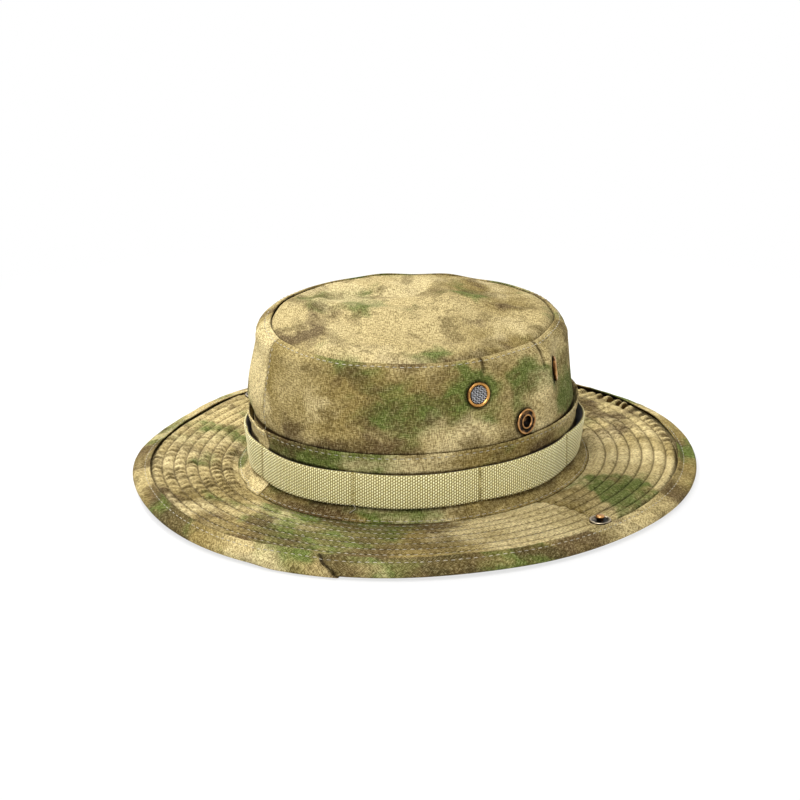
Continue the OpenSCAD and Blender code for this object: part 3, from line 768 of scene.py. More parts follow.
def brim_relief(w, t, seed):
    """Height of the quilting above the plies, and the painted shade of each place, from 0 to DARKEST.

    v runs from 0 to 1 across a channel. The puff is (4 v (1 - v))^0.75. A brick is half a sine over its
    share of the turn, its top pushed by a power towards the camera's side, with a wandering phase, so that
    rounded ridges lean over into sharp creases.
    """
    channel = np.clip(np.searchsorted(stitch_w, w + HAIR, side="right"), 1, ROW_COUNT)
    v = np.clip((w - (FOOT_W + ROW_FIRST + ROW_STEP * (channel - 1))) / ROW_STEP, 0, 1)
    wander, slant, size, slow = (
        bumps(t / TURN * cells, channel, cells, ROW_COUNT + 1, seed + k)
        for k, cells in enumerate((WANDER_CELLS, SLANT_CELLS, SIZE_CELLS, PUFF_CELLS)))
    clear = ease(*STUD_CLEAR, np.hypot(np.abs(w * np.cos(t)) - STUD_W, (w + LONGER) * np.sin(t)))
    inside = (w > stitch_w[0]) * ease(*RELIEF_END, w) * clear
    trench = bell(w - EDGE_W + BIND_W, TRENCH_W) * clear
    step = t / TURN * BRICKS + BRICK_WANDER * wander
    step = step + BRICK_SLANT * slant * (v - 0.5) + BRICK_SHIFT * channel
    step = np.where(np.sin(t - VIEWED) < 0, step % 1.0, 1 - step % 1.0)
    ridge = np.sin(math.pi * step ** TUCK_LEAN) ** TUCK_ROUND
    tucks = puckered(t, channel) * (BRICK_SIZE + BRICK_UNEVEN * size)
    dome = (4 * v * (1 - v)) ** PUFF_POWER
    puff = PUFF * puffed(t) * (1 + PUFF_UNEVEN * slow)
    pucker = PUCKER * tucks * (ridge - PUCKER_SUNK)
    groove = bell(np.minimum(v, 1 - v) * ROW_STEP, GROOVE_W)
    # Painted shade: on the steep side of each ridge, along the grooves and in the trench inside the lip.
    shaded = bell(step - TUCK_SHADE_AT, TUCK_SHADE_W) + bell(step + 1 - TUCK_SHADE_AT, TUCK_SHADE_W)
    deep = np.maximum(groove, TUCK_SHADE * tucks * dome ** PUCKER_POWER * shaded)
    height = inside * (dome * puff + dome ** PUCKER_POWER * pucker) - TRENCH * trench
    return height, np.clip(np.maximum(inside * deep, DARKEST * trench), 0, DARKEST)


def brim_seam(w, t):
    """Sink of the seam where the front and back panels of the brim are sewn together, on the line y = 0."""
    across = (w + LONGER) * np.sin(t)
    return -SEAM_SINK * bell(across, SEAM_SINK) * ease(FOOT_W - SEAM_HIDDEN, FOOT_W, w)


print("bricks in one turn of a channel:", BRICKS, "of about %.1f mm" % (TURN * EDGE_W / BRICKS / MM))

# %% [markdown]
# ### Two halves of the brim
# Each piece of a hat is cut where it fits on the roll, so it shows its own stretch of the print; tables of
# bells make a stretch paler or darker. The front and back of the brim meet in a seam at each side, where
# the print changes along a sharp line. As a mesh the brim is a right and a left half, each holding one of
# the folding sides.

# %% Grid of the brim and its fold
BRIM_COLS = 701
CHANNEL_STEPS, HIDDEN_STEPS, EDGE_STEPS = 8, 3, 4
HIDDEN_IN, HIDDEN_OUT = 8.0 * MM, 1.6 * MM
SIDES = {"right": math.pi / 2, "left": -math.pi / 2}
ENDS = {"right": "back", "left": "front"}
channel_w = [np.linspace(a, b, CHANNEL_STEPS, endpoint=False) for a, b in
             zip(stitch_w, np.append(stitch_w[1:], stitch_w[-1] + ROW_STEP))]
brim_w = np.concatenate([np.linspace(FOOT_W - HIDDEN_IN, stitch_w[0], HIDDEN_STEPS, endpoint=False),
                         *channel_w,
                         np.linspace(stitch_w[-1] + ROW_STEP, EDGE_W - HIDDEN_OUT, EDGE_STEPS)])


def half_turn(side, count):
    """Angles of one half of the hat, from the middle of the back or front round to the other."""
    return SIDES[side] + np.linspace(0, math.pi, count)


def bend_with_side(piece):
    """Bakes the piece's placement into its mesh."""
    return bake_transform(piece)


print("grid of a brim half:", BRIM_COLS, "by", 2 * len(brim_w), "points")

# %% Cloth of the brim
TOP_SEED, UNDER_SEED = 11, 51
UNDER_SHARE = 0.4
BRIM_SHADE = ((50, 30, -0.01), (122, 30, -0.12), (214, 28, 0.12))
PALE_BACK, DULL_FRONT = ((168, 16, 0.27),), ((192, 14, -0.05),)
BACK_CUT, FRONT_CUT = (0.57, 0.71), (1.14, 0.35)
# Painted shade along the sunk side seam of the brim, and its width.
SEAM_SHADE, SEAM_LINE = 0.75, 0.5 * MM
PLIES = ("top", "inner", "under")


def brim_top(w, t):
    """Top of the brim with its relief."""
    return brim_level(w, t) + brim_relief(w, t, TOP_SEED)[0] + brim_seam(w, t)


def brim_under(w, t):
    """Underside of the brim: the same rings of stitching, with shallower puckers."""
    return brim_level(w, t) + UNDER_Z - UNDER_SHARE * brim_relief(w, t, UNDER_SEED)[0]


def brim_shade(t):
    """Shade round the brim: its bells, and at the right seam the pale cloth of the back half stops short."""
    return spots(t, BRIM_SHADE) + np.where(np.sin(t) > 0, spots(t, PALE_BACK), spots(t, DULL_FRONT))


def brim_painted_shade(w, t, seed):
    """Painted shade of the creases, and of the sunk side seam as a bell across the line where y is 0."""
    return np.maximum(brim_relief(w, t, seed)[1], SEAM_SHADE * bell((w + LONGER) * np.sin(t), SEAM_LINE))


def brim_half(side):
    """One half of the brim as a closed strip: out along the top, round the edge and back underneath."""
    t, w = half_turn(side, BRIM_COLS)[:, None], brim_w[None]
    top, under = brim_oval(w, t, brim_top(w, t)), brim_oval(w, t, brim_under(w, t))
    points, quads = closed_strip(np.concatenate([top, under[:, ::-1]], axis=1))
    at_back = points[quads][:, :, 1].mean(1) > 0
    cut = np.where(at_back[:, None], BACK_CUT, FRONT_CUT)
    cloth = (points[quads][:, :, :2] + cut[:, None, :]).reshape(-1, 2)
    piece = facing_out(new_piece(side + "_brim_cloth", points, [quads], CAMOUFLAGE, cloth))
    # Painted shade of the creases on top and, weaker, underneath.
    dark = [brim_painted_shade(w, t, TOP_SEED), UNDER_SHARE * brim_painted_shade(w, t, UNDER_SEED)[:, ::-1]]
    add_value(piece, "painted_shade", np.concatenate(dark, axis=1).T)
    add_value(piece, "shade", np.broadcast_to(brim_shade(t), (BRIM_COLS, 2 * len(brim_w))).T)
    bend_with_side(piece)
    nodes = [side + "_flap_" + ply for ply in PLIES]
    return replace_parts(piece, *nodes, *["brim_%s_%s" % (ply, ENDS[side]) for ply in PLIES])


brims = {side: brim_half(side) for side in SIDES}
print("brim quads:", [len(b.data.polygons) for b in brims.values()])

# %% [markdown]
# ### Rings of stitching
# The thread of a ring lies in the groove that it pulls, so each row takes its path from the same formula as
# the cloth. It sinks a little deeper where the cloth is puffed.

# %% Rings of stitching on the brim
ROW_POINTS = 900
ROW_SUNK = 0.3 * MM


def ring_row(side, w, height, sign):
    """Stitches of a ring at half width w on the face of that height; sign is 1 for the top, -1 below."""
    t = half_turn(side, ROW_POINTS)
    sunk = ROW_SUNK * (puffed(t) - PRESSED) / (1 - PRESSED)
    path = brim_oval(np.full_like(t, w), t, height(np.full_like(t, w), t) - sign * sunk)
    return stitches(path, np.tile([0.0, 0.0, sign], (len(t), 1)))


for side in SIDES:
    rows = [ring_row(side, w, brim_top, 1) for w in stitch_w]
    rows += [ring_row(side, w, brim_under, -1) for w in stitch_w]
    bend_with_side(thread_piece(side + "_brim_stitches", rows))

# %% [markdown]
# ## Binding
# A bias tape is folded over the edge of the brim and sewn through with one row. Inside that row its free
# lip stands up a little and casts part of the dark line round the brim; the rest is painted shade, on the
# whole inner face of the tape and in a trench of the brim at the lip's edge. The tape is a profile of two
# faces, carried round the edge; its end is turned under on a slant and lies over its beginning.

# %% Profile of the binding
TAPE_T, TAPE_FIT = 0.8 * MM, 0.12 * MM
LIP, LIP_LIFT = 3.4 * MM, 1.3 * MM
LIP_UNDER, LIP_UNDER_ON = 0.4, 1.0
LIP_HELD, LIP_NEAR, LIP_FAR, LIP_UNEVEN = 0.85, 0.7, 1.9, 0.4
LIP_FAR_AT, LIP_WAVE = (math.radians(288), math.radians(80)), (44, 5)
TAPE_PRESS, TAPE_PRESS_W = 0.25 * MM, 1.0 * MM
TAPE_WAVE = (0.18 * MM, 160, 5 * MM, 4, 21)
BIND_ROUND = 1.5 * MM
FACE_POINTS, ROUND_POINTS = 13, 8
TAPE_CUT = np.array([0.41, 0.15])


def lip_lift(t):
    """How far the free lip stands up at angle t: it lies close beside the studs, where a side snaps."""
    share = LIP_NEAR + LIP_FAR * near_angle(t, *LIP_FAR_AT) + LIP_UNEVEN * round_bumps(t, *LIP_WAVE)
    return LIP_LIFT * (1 - LIP_HELD * snap_flat(t)) * share


def tape_faces(t, raise_by=0.0):
    """Outer and inner face of the tape at angles t, as distances from the edge and heights.

    From the upper lip the tape runs outwards over the brim, turns round the edge on a half ellipse and
    runs back below; both faces lie half the thickness off that line, along its own normal.
    """
    t = t[:, None]
    d = np.linspace(BIND_W, BIND_ROUND, FACE_POINTS)[None]
    skin = TAPE_FIT + TAPE_T / 2 + raise_by
    free = ease(BIND_W - LIP, BIND_W, d)
    press = -TAPE_PRESS * bell(d - BIND_W + LIP, TAPE_PRESS_W)
    level = brim_level(EDGE_W - d, t)
    upper = level + skin + free * lip_lift(t) + press + skin_bumps(t, d, *TAPE_WAVE)
    lower = (level + UNDER_Z - skin - LIP_UNDER * free * lip_lift(t + LIP_UNDER_ON) - press)[:, ::-1]
    turn = np.linspace(0, math.pi, ROUND_POINTS + 2)[None, 1:-1]
    middle, reach = (upper[:, -1:] + lower[:, :1]) / 2, (upper[:, -1:] - lower[:, :1]) / 2
    bend_d = BIND_ROUND - (BIND_ROUND - TAPE_T / 2 + raise_by) * np.sin(turn)
    z = np.concatenate([upper, middle + reach * np.cos(turn), lower], axis=1)
    flat_d, bend_d = np.broadcast_to(d, upper.shape), np.broadcast_to(bend_d, (len(z), ROUND_POINTS))
    d = np.concatenate([flat_d, bend_d, flat_d[:, ::-1]], axis=1)
    dd, dz = np.gradient(d, axis=1), np.gradient(z, axis=1)
    size = np.hypot(dd, dz)
    out_d, out_z = dz / size * TAPE_T / 2, -dd / size * TAPE_T / 2
    return (d + out_d, z + out_z), (d - out_d, z - out_z)


def tape_strip(t, raise_by=0.0, slant=None, turns=0):
    """Closed strip of tape at angles t, and its cloth map; slant moves each point along by its run across.

    The map is the run along the edge and the arc length across the tape, turned by half a right angle,
    because the tape is cut on the bias; turns tells how many turns of the tape come before this stretch.
    """
    (outer_d, outer_z), (inner_d, inner_z) = tape_faces(t, raise_by)
    d = np.concatenate([outer_d, inner_d[:, ::-1]], axis=1)
    z = np.concatenate([outer_z, inner_z[:, ::-1]], axis=1)
    across = run_along(outer_d[0], outer_z[0])
    across = np.append(across, across[::-1])[None]
    at = t[:, None] + (0 if slant is None else slant(across, t[:, None]))
    across, along = np.broadcast_arrays(across, EDGE_W * (at + turns * TURN))
    cloth = np.stack([along + across, along - across], -1).transpose(1, 0, 2).reshape(-1, 2) / math.sqrt(2)
    return *closed_strip(brim_oval(EDGE_W - d, at, z)), cloth + TAPE_CUT


print("points round the tape's profile:", 2 * (2 * FACE_POINTS + ROUND_POINTS))

# %% [markdown]
# ### Two halves of the tape
# The tape starts and ends at one place of the right half. There the end rises over the beginning, runs on
# for a little and is cut on a slant with a slight curve. A dark line beside the cut stands for its shadow.

# %% Tape round the edge
TAPE_SHADE = ((58, 30, -0.08), (136, 26, -0.12))
OVERLAP_AT, OVERLAP_LENGTH = math.radians(119), math.radians(9)
OVERLAP_SLANT, OVERLAP_CURVE = 1.1, 1.2 * MM
OVERLAP_PALER = 0.07
OVERLAP_SHADE_AT, OVERLAP_SHADE_W = 0.5 * MM, 1.0 * MM
CLIMB_FROM, CLIMB_TO = 1.6, 0.9
BIND_COLS, OVER_COLS = 420, 80


def tape_end(across, t):
    """Cuts the tape's end on a slant with a slight curve: the further across, the further it runs on."""
    share = ease(OVERLAP_AT - OVERLAP_LENGTH, OVERLAP_AT, t)
    run = OVERLAP_SLANT * (across - BIND_W / 2) + OVERLAP_CURVE * np.sin(TURN * across / BIND_W)
    return share * run / EDGE_W


def tape_climb(t, end):
    """Rise of the tape's end over its beginning, from CLIMB_FROM to end lengths before the cut."""
    start = OVERLAP_AT - CLIMB_FROM * OVERLAP_LENGTH
    return (TAPE_T + TAPE_FIT) * ease(start, OVERLAP_AT - end * OVERLAP_LENGTH, t)


def binding_half(side):
    """Tape round one half of the brim; on the right half a second strip lies over its beginning."""
    if side == "left":
        strips = [tape_strip(half_turn(side, BIND_COLS))]
    else:
        under_t = np.linspace(OVERLAP_AT - OVERLAP_LENGTH, 1.5 * math.pi, BIND_COLS)
        over_t = np.linspace(math.pi / 2, OVERLAP_AT, OVER_COLS)
        over = tape_strip(over_t, tape_climb(over_t, CLIMB_TO)[:, None], tape_end)
        strips = [tape_strip(under_t, turns=-1), over]
    points, quads = joined([strip[:2] for strip in strips])
    cloth = np.concatenate([strip[2] for strip in strips])
    x, y = points[:, 0] / EDGE_W, points[:, 1] / (EDGE_W + LONGER)
    angle, d = np.arctan2(y, x), EDGE_W * (1 - np.hypot(x, y))
    on_top = np.arange(len(points)) >= len(strips[0][0])
    piece = facing_out(new_piece(side + "_binding_tape", points, [quads], CAMOUFLAGE, cloth))
    add_value(piece, "shade", spots(angle, TAPE_SHADE) + OVERLAP_PALER * on_top)
    past = EDGE_W * (angle - OVERLAP_AT - tape_end(BIND_W - d, OVERLAP_AT))
    # Painted shade: the tape's whole inner face, and a line beside the cut of its end.
    inner = np.concatenate([np.repeat([0, 1], len(strip[0]) // 2) for strip in strips])
    beside = np.where(on_top, 0, bell(past - OVERLAP_SHADE_AT, OVERLAP_SHADE_W))
    add_value(piece, "painted_shade", DARKEST * np.maximum(beside, inner))
    bend_with_side(piece)
    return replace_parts(piece, side + "_flap_binding", "binding_" + ENDS[side])


bindings = {side: binding_half(side) for side in SIDES}
print("binding quads:", [len(b.data.polygons) for b in bindings.values()])


# %% Stitching of the binding
def binding_row(side, face):
    """Stitches of the row that holds the tape, on its upper face for 1 or its lower face for -1."""
    t = half_turn(side, ROW_POINTS)
    over = np.where((t < OVERLAP_AT) & (side == "right"), tape_climb(t, 1), 0)
    (d, z), _ = tape_faces(t)
    at = int(np.argmin(np.abs(d[0, :FACE_POINTS] - BIND_W + LIP)))
    column = at if face > 0 else d.shape[1] - 1 - at
    path = brim_oval(EDGE_W - d[:, column], t, z[:, column] + face * over)
    return stitches(path, np.tile([0.0, 0.0, face], (len(t), 1)))


for side in SIDES:
    rows = [binding_row(side, face) for face in (1.0, -1.0)]
    bend_with_side(thread_piece(side + "_binding_stitches", rows))

# %% [markdown]
# ## Crown
# The side of the crown is two panels with seams at the back and front, and an oval panel on top. The side
# rises almost upright, rounds in at the shoulder and ends in a narrow welt over the top seam.

# %% Upright profile of the crown
LEAN, LEAN_POWER, LEAN_ON = 4.8 * MM, 2.5, 1.2
SHOULDER_H, SHOULDER_TURN = 10.0 * MM, math.radians(60)
SHOULDER_Z = SEAM_Z - SHOULDER_H
WELT_R, WELT_END = 0.9 * MM, math.radians(200)
SIDE_HIDDEN = 14 * MM
WALL_ROWS, SHOULDER_ROWS, WELT_ROWS = 56, 13, 7
CLOTH_T = 0.9 * MM


def wall_w(z):
    """Half width of the crown's wall at height z: it leans in as the height to the power LEAN_POWER."""
    share = np.clip((z - RIM_Z) / (SHOULDER_Z - RIM_Z), 0, LEAN_ON)
    return WALL_W - LEAN * share ** LEAN_POWER


def side_profile():
    """Half widths and heights up the side: the leaning wall, the round shoulder and the rolled welt."""
    z = np.linspace(RIM_Z + SIDE_HIDDEN, SHOULDER_Z, WALL_ROWS, endpoint=False)
    a = np.linspace(0, SHOULDER_TURN, SHOULDER_ROWS)
    round_in = WALL_W - LEAN - SEAM_W
    shoulder_w = WALL_W - LEAN - round_in * (1 - np.cos(a)) / (1 - np.cos(SHOULDER_TURN))
    shoulder_z = SHOULDER_Z + SHOULDER_H * np.sin(a) / np.sin(SHOULDER_TURN)
    roll = np.linspace(SHOULDER_TURN, WELT_END, WELT_ROWS + 1)[1:]
    centre_w = SEAM_W - WELT_R * np.cos(SHOULDER_TURN)
    centre_z = SEAM_Z - WELT_R * np.sin(SHOULDER_TURN)
    return (np.concatenate([wall_w(z), shoulder_w, centre_w + WELT_R * np.cos(roll)]),
            np.concatenate([z, shoulder_z, centre_z + WELT_R * np.sin(roll)]))


side_w, side_z = side_profile()
print("crown side rows:", len(side_w), "welt top at %.1f mm" % (side_z.max() / MM))

# %% [markdown]
# ### Where vents and snaps sit
# A fitting holds the cloth flat round itself, so the crown has to know where each one is. Its place and
# the way it faces come from the frame's own node. One vent lies in a fold of the worn cloth and is turned
# with it.

# %% Fittings on the crown, from the frame
TURNED_VENT, VENT_TURN = "right_front_vent", math.radians(24)
FITTINGS = [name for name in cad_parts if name.endswith(("_vent_rim", "_socket"))]


def node_points(name):
    """Corners of a frame node as an array."""
    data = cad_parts[name].data
    co = np.empty(len(data.vertices) * 3, np.float32)
    data.vertices.foreach_get("co", co)
    return co.reshape(-1, 3).astype(float)


def facing(name):
    """Middle of a round node of the crown and the ways across, up and out: out is its least spread."""
    disc = node_points(name)
    centre = (disc.min(0) + disc.max(0)) / 2
    out = np.linalg.svd(disc - disc.mean(0), full_matrices=False)[2][2]
    out = out * np.sign(out @ (centre * [1, 1, 0]))
    across = unit(np.cross([0, 0, 1.0], out))
    return centre, across, np.cross(out, across), out


def with_fold(name, points):
    """Turns the vent that lies in a fold of the worn cloth about the upright through its middle."""
    if not name.startswith(TURNED_VENT):
        return points
    c, s = math.cos(VENT_TURN), math.sin(VENT_TURN)
    return (points - turned_vent) @ np.array([[c, s, 0], [-s, c, 0], [0, 0, 1]]) + turned_vent


def distance_to_fittings(points):
    """Distance from each point to the nearest vent or snap."""
    gap = np.linalg.norm(points[..., None, :] - fitting_centres, axis=-1)
    return gap.min(-1)


fitting_centres = np.array([node_points(name).mean(0) for name in FITTINGS])
turned_vent, turned_along, _, _ = facing(TURNED_VENT + "_screen")
print("fittings on the crown:", len(FITTINGS))

# %% [markdown]
# ### Wear of the crown
# Worn cloth bulges and sinks a little everywhere, except where a vent or snap holds it. The seams pull it
# in, two darts run down from the top seam, and the whole crown leans and stands higher on one side.

# %% Bulges, darts and lean of the side
SEAM_ANGLES = (math.radians(72), math.radians(252))
# A dart: its angle and width in degrees, its height (in a dart line its painted shade), and its length.
DARTS = ((163.4, 0.9, -1.8 * MM, 13 * MM), (165.4, 1.6, 1.2 * MM, 13 * MM),
         (191, 1.0, -1.7 * MM, 22 * MM), (194, 2.0, 1.4 * MM, 22 * MM))
DART_LINES = ((163.4, 0.7, 1.2, 13 * MM), (191, 0.7, 1.1, 22 * MM))
SWELL, DENT = (1.0 * MM, 15, 34 * MM, 5, 31), (0.45 * MM, 44, 15 * MM, 9, 32)
HOLD_R, SUNK, SUNK_R, SUNK_W = 15 * MM, 0.7 * MM, 6 * MM, 3.5 * MM
PULL, PULL_W = 0.8 * MM, 1.4 * MM
SIDE_LAP, LAP_OFF, LAP_W = 0.5 * MM, 3.2 * MM, 2.2 * MM
LEANS, LEAN_KEPT, LEAN_FADE = ((40, 42, 4.8 * MM), (238, 26, -1.2 * MM)), 0.55, 24 * MM
LEAN_RISE = (BAND_TOP - 12 * MM, BAND_TOP + 10 * MM)
FREE_RISE = (BAND_TOP - 4 * MM, BAND_TOP + 8 * MM)
GATHER, GATHER_WAVE, GATHER_RISE = 0.5 * MM, (96, 34), (SEAM_Z - 16 * MM, SEAM_Z - 3 * MM)
FOLD_STEEP = 1.2
RISES, RISE_OUT = ((2, 52, 4.3 * MM), (290, 40, 1.0 * MM)), 0.3
RISE_UNEVEN, RISE_WAVE = 0.8 * MM, (26, 33)
DRAWN_SEAM = ((135, 50, 3.2 * MM), (34, 34, 1.3 * MM))
# Painted shade in the top seam: its share, how uneven, its waves, how much less on the far side, and where.
GLOOM, GLOOM_UNEVEN, GLOOM_WAVE, GLOOM_LESS = 0.75, 0.35, (52, 44), 0.65
GLOOM_FAR = (math.radians(318), math.radians(62))
HELD_H, DART_TOP = 6 * MM, 2 * MM


def darted(t, z, places):
    """Bells round the ring that begin at the top seam and fade out over the length that each one has."""
    return sum(spots(t, [place]) * ease(SEAM_Z - long, SEAM_Z - DART_TOP, z) for *place, long in places)


def crown_relief(t, z, flat):
    """Unevenness of the crown's side: swells, dents, a lean and gathers that fade out beside the fittings.

    To these come the pull and the lap of the two seams, the darts, a dip round each fitting, and the fold
    that turns one vent: a slope along the cloth within a bell round that vent.
    """
    gap = distance_to_fittings(flat)
    lean = spots(t, LEANS) * ease(*LEAN_RISE, z)
    lean = lean * (1 - LEAN_KEPT * ease(SHOULDER_Z - LEAN_FADE, SHOULDER_Z, z))
    gather = GATHER * round_bumps(t, *GATHER_WAVE) * ease(*GATHER_RISE, z)
    free = (1 - bell(gap, HOLD_R)) * ease(*FREE_RISE, z)
    loose = (skin_bumps(t, z, *SWELL) + skin_bumps(t, z, *DENT) + lean + gather) * free
    pull = sum(near_angle(t, a, PULL_W / WALL_W) for a in SEAM_ANGLES)
    lap = sum(near_angle(t, a + LAP_OFF / WALL_W, LAP_W / WALL_W) for a in SEAM_ANGLES)
    sunk = SUNK * bell(gap - SUNK_R, SUNK_W)
    away = flat - turned_vent
    near = bell(np.linalg.norm(away, axis=-1), HOLD_R)
    fold = -math.tan(VENT_TURN) * FOLD_STEEP * (away @ turned_along) * near
    return loose - PULL * pull + SIDE_LAP * lap + darted(t, z, DARTS) - sunk + fold


def shoulder_out(t):
    """How far the seam is drawn out at the near side and the left, where the top panel pulls it straight."""
    return spots(t, DRAWN_SEAM)


def seam_rise(t):
    """How much higher the worn seam stands at angle t: most towards the left of the front, and uneven."""
    return spots(t, RISES) + RISE_UNEVEN * round_bumps(t, *RISE_WAVE) + RISE_OUT * shoulder_out(t)


def seam_painted_shade(t):
    """Painted shade in the top seam at angle t: uneven, and less along the far side, which is drawn open."""
    dark = GLOOM + GLOOM_UNEVEN * round_bumps(t, *GLOOM_WAVE)
    return dark * (1 - GLOOM_LESS * near_angle(t, *GLOOM_FAR))


def crown_side(w, t, z):
    """A point of the crown's dressed side, from the half width and height of its upright profile."""
    w = w + shoulder_out(t) * ease(SHOULDER_Z, SEAM_Z, z)
    flat = oval(w, t, z)
    held = ease(SEAM_Z + WELT_R, SEAM_Z - HELD_H, z)
    points = flat + outward(w, t) * (crown_relief(t, z, flat) * held)[..., None]
    points[..., 2] += seam_rise(t) * ease(BAND_TOP, SEAM_Z, z)
    return points


rise = seam_rise(ring_angles(360))
print("top seam is raised by %.1f to %.1f mm" % (rise.min() / MM, rise.max() / MM))

# %% [markdown]
# ### Side panels
# Each panel is a sheet on the grid of rows up the profile and columns round half the crown. The faces
# behind a fitting are left out, as the real cloth is punched there. Painted shade goes round the fittings,
# into the seams and darts, along the top seam and behind the upper edge of the band.

# %% The two side panels
SIDE_COLS = 420
FLANGE_R, FLANGE_SHADE, HOLE_SHARE = 7.4 * MM, 1.3 * MM, 0.80
SIDE_SHADE = ((72, 26, 0.10), (140, 34, -0.045), (186, 16, 0.06))
SIDE_CUTS = {"right": (0.12, 0.55), "left": (0.57, 0.25)}
# Painted shade at the upright seams, in the top rows of the welt, and behind the upper edge of the band.
SEAM_MARK = (0.6, 0.7)
TUCKED_ROWS = 5
BEHIND_FROM, BEHIND_TO = (-0.6 * MM, 0.3 * MM), (4.5 * MM, 2.5 * MM)


def side_panel(side):
    """One panel from seam to seam; the faces behind each fitting are left out, under its flange."""
    t = (SEAM_ANGLES[list(SIDES).index(side)] + np.linspace(0, math.pi, SIDE_COLS))[None]
    z = side_z[:, None]
    points = crown_side(side_w[:, None], t, z)
    # Painted shade round each fitting, in the seams and dart lines, on the welt and just below the band's
    # top.
    flange = bell(distance_to_fittings(points) - FLANGE_R, FLANGE_SHADE)
    seam = spots(t, [(math.degrees(a), *SEAM_MARK) for a in SEAM_ANGLES])
    tucked = (np.arange(len(side_w)) >= len(side_w) - TUCKED_ROWS)[:, None] * seam_painted_shade(t)
    behind = DARKEST * ease(*BEHIND_FROM, BAND_TOP - z) * ease(*BEHIND_TO, BAND_TOP - z)
    dark = np.maximum.reduce(np.broadcast_arrays(flange, seam, tucked, behind, darted(t, z, DART_LINES)))
    points = points.reshape(-1, 3)
    quads = grid_quads(len(side_w), SIDE_COLS)
    quads = quads[distance_to_fittings(points[quads].mean(1)) > HOLE_SHARE * FLANGE_R]
    run = run_along(side_w, side_z)
    cloth = np.stack(np.broadcast_arrays(WALL_W * t, run[:, None]), -1).reshape(-1, 2) + SIDE_CUTS[side]
    piece = new_piece(side + "_crown_panel", points, [quads[:, ::-1]], CAMOUFLAGE, cloth)
    add_value(piece, "painted_shade", dark)
    add_value(piece, "shade", np.broadcast_to(spots(t, SIDE_SHADE), dark.shape))
    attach(with_thickness(piece, CLOTH_T), "crown")
    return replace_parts(piece, "crown_side_" + side)


panels = {side: side_panel(side) for side in SIDES}
print("crown panels:", [len(p.data.polygons) for p in panels.values()])

# %% [markdown]
# ### Top panel
# The top is an oval of cloth, cut on a slant to the roll. It stands up from its seam as a flat pillow and
# carries the soft folds of a hat that has been packed away, each a bell across its line and along it.

# %% Height of the top panel
TOP_RISE, TOP_POWER, TOP_LOW = 5.2 * MM, 3.2, 1.7 * MM
EDGE_PUFF, EDGE_PUFF_W = 1.9 * MM, 1.6 * MM
# A lump: its height, lumps in half a width, lattice cells, seed.
LUMPS, LUMP_SHIFT = ((1.4 * MM, 2.2, 24, 41), (0.6 * MM, 5, 40, 42)), 9
PINCH, PINCH_WAVE, PINCH_FROM = 1.1 * MM, (38, 43), (0.6, 0.93)
DART_FROM, SEAM_FROM = (0.85, 0.96), (1.0, 0.93)
# A fold: its place in shares of the oval, its turn in degrees, its height in mm, its width and length.
FOLDS = ((0.25, 0.30, 20, 3.2, 0.10, 0.45), (-0.35, 0.05, 75, 2.6, 0.09, 0.35),
         (0.05, -0.35, -30, 2.5, 0.10, 0.5), (0.45, -0.10, 50, -2.7, 0.11, 0.4),
         (-0.25, -0.50, 10, 2.2, 0.08, 0.3), (-0.10, 0.60, -20, -2.1, 0.08, 0.3),
         (0.55, 0.45, -50, 2.0, 0.07, 0.3), (-0.65, 0.25, 40, -1.9, 0.06, 0.25))


def soft_folds(x, y):
    """Folds of the top panel: each is a bell across its line times a wider bell along it."""
    height = 0.0 * x
    for at_x, at_y, turn, high, wide, long in FOLDS:
        lead = np.array([math.cos(math.radians(turn)), math.sin(math.radians(turn))])
        along = (x - at_x) * lead[0] + (y - at_y) * lead[1]
        across = (y - at_y) * lead[0] - (x - at_x) * lead[1]
        height = height + high * MM * np.exp(-(across / wide) ** 2 - (along / long) ** 2)
    return height


def top_height(f, t):
    """Height of the top panel at share f of the way out: a pillow with folds, lumps and a puckered edge."""
    pillow = TOP_RISE * (1 - f ** TOP_POWER) + EDGE_PUFF * (1 - np.exp(-(1 - f) * SEAM_W / EDGE_PUFF_W))
    x, y = f * np.cos(t), f * np.sin(t)
    lumps = sum(high * bumps(x * many + LUMP_SHIFT, y * many + LUMP_SHIFT, cells, cells, seed)
                for high, many, cells, seed in LUMPS)
    pinch = PINCH * round_bumps(t, *PINCH_WAVE) * ease(*PINCH_FROM, f)
    pinch = pinch + darted(t, SEAM_Z, DARTS) * ease(*DART_FROM, f)
    level = SEAM_Z - TOP_LOW + seam_rise(t) * f ** 2
    return level + pillow + (lumps + soft_folds(x, y) + pinch) * ease(*SEAM_FROM, f)


print("middle of the top at %.1f mm" % (top_height(np.zeros(1), np.zeros(1))[0] / MM))

# %% Top panel
TOP_RINGS, TOP_COLS, TOP_SPREAD = 90, 360, 0.8
TOP_TUCK, DRAWN_POWER = 1.0 * MM, 8
# Print shade of the top; even painted shade over the whole panel; width of painted shade at its seam.
TOP_SHADE, TOP_EVEN_SHADE, TOP_DARK_W = 0.01, 0.2, 1.0 * MM
BIAS, TOP_CUT = math.radians(38), (1.19, 0.38)


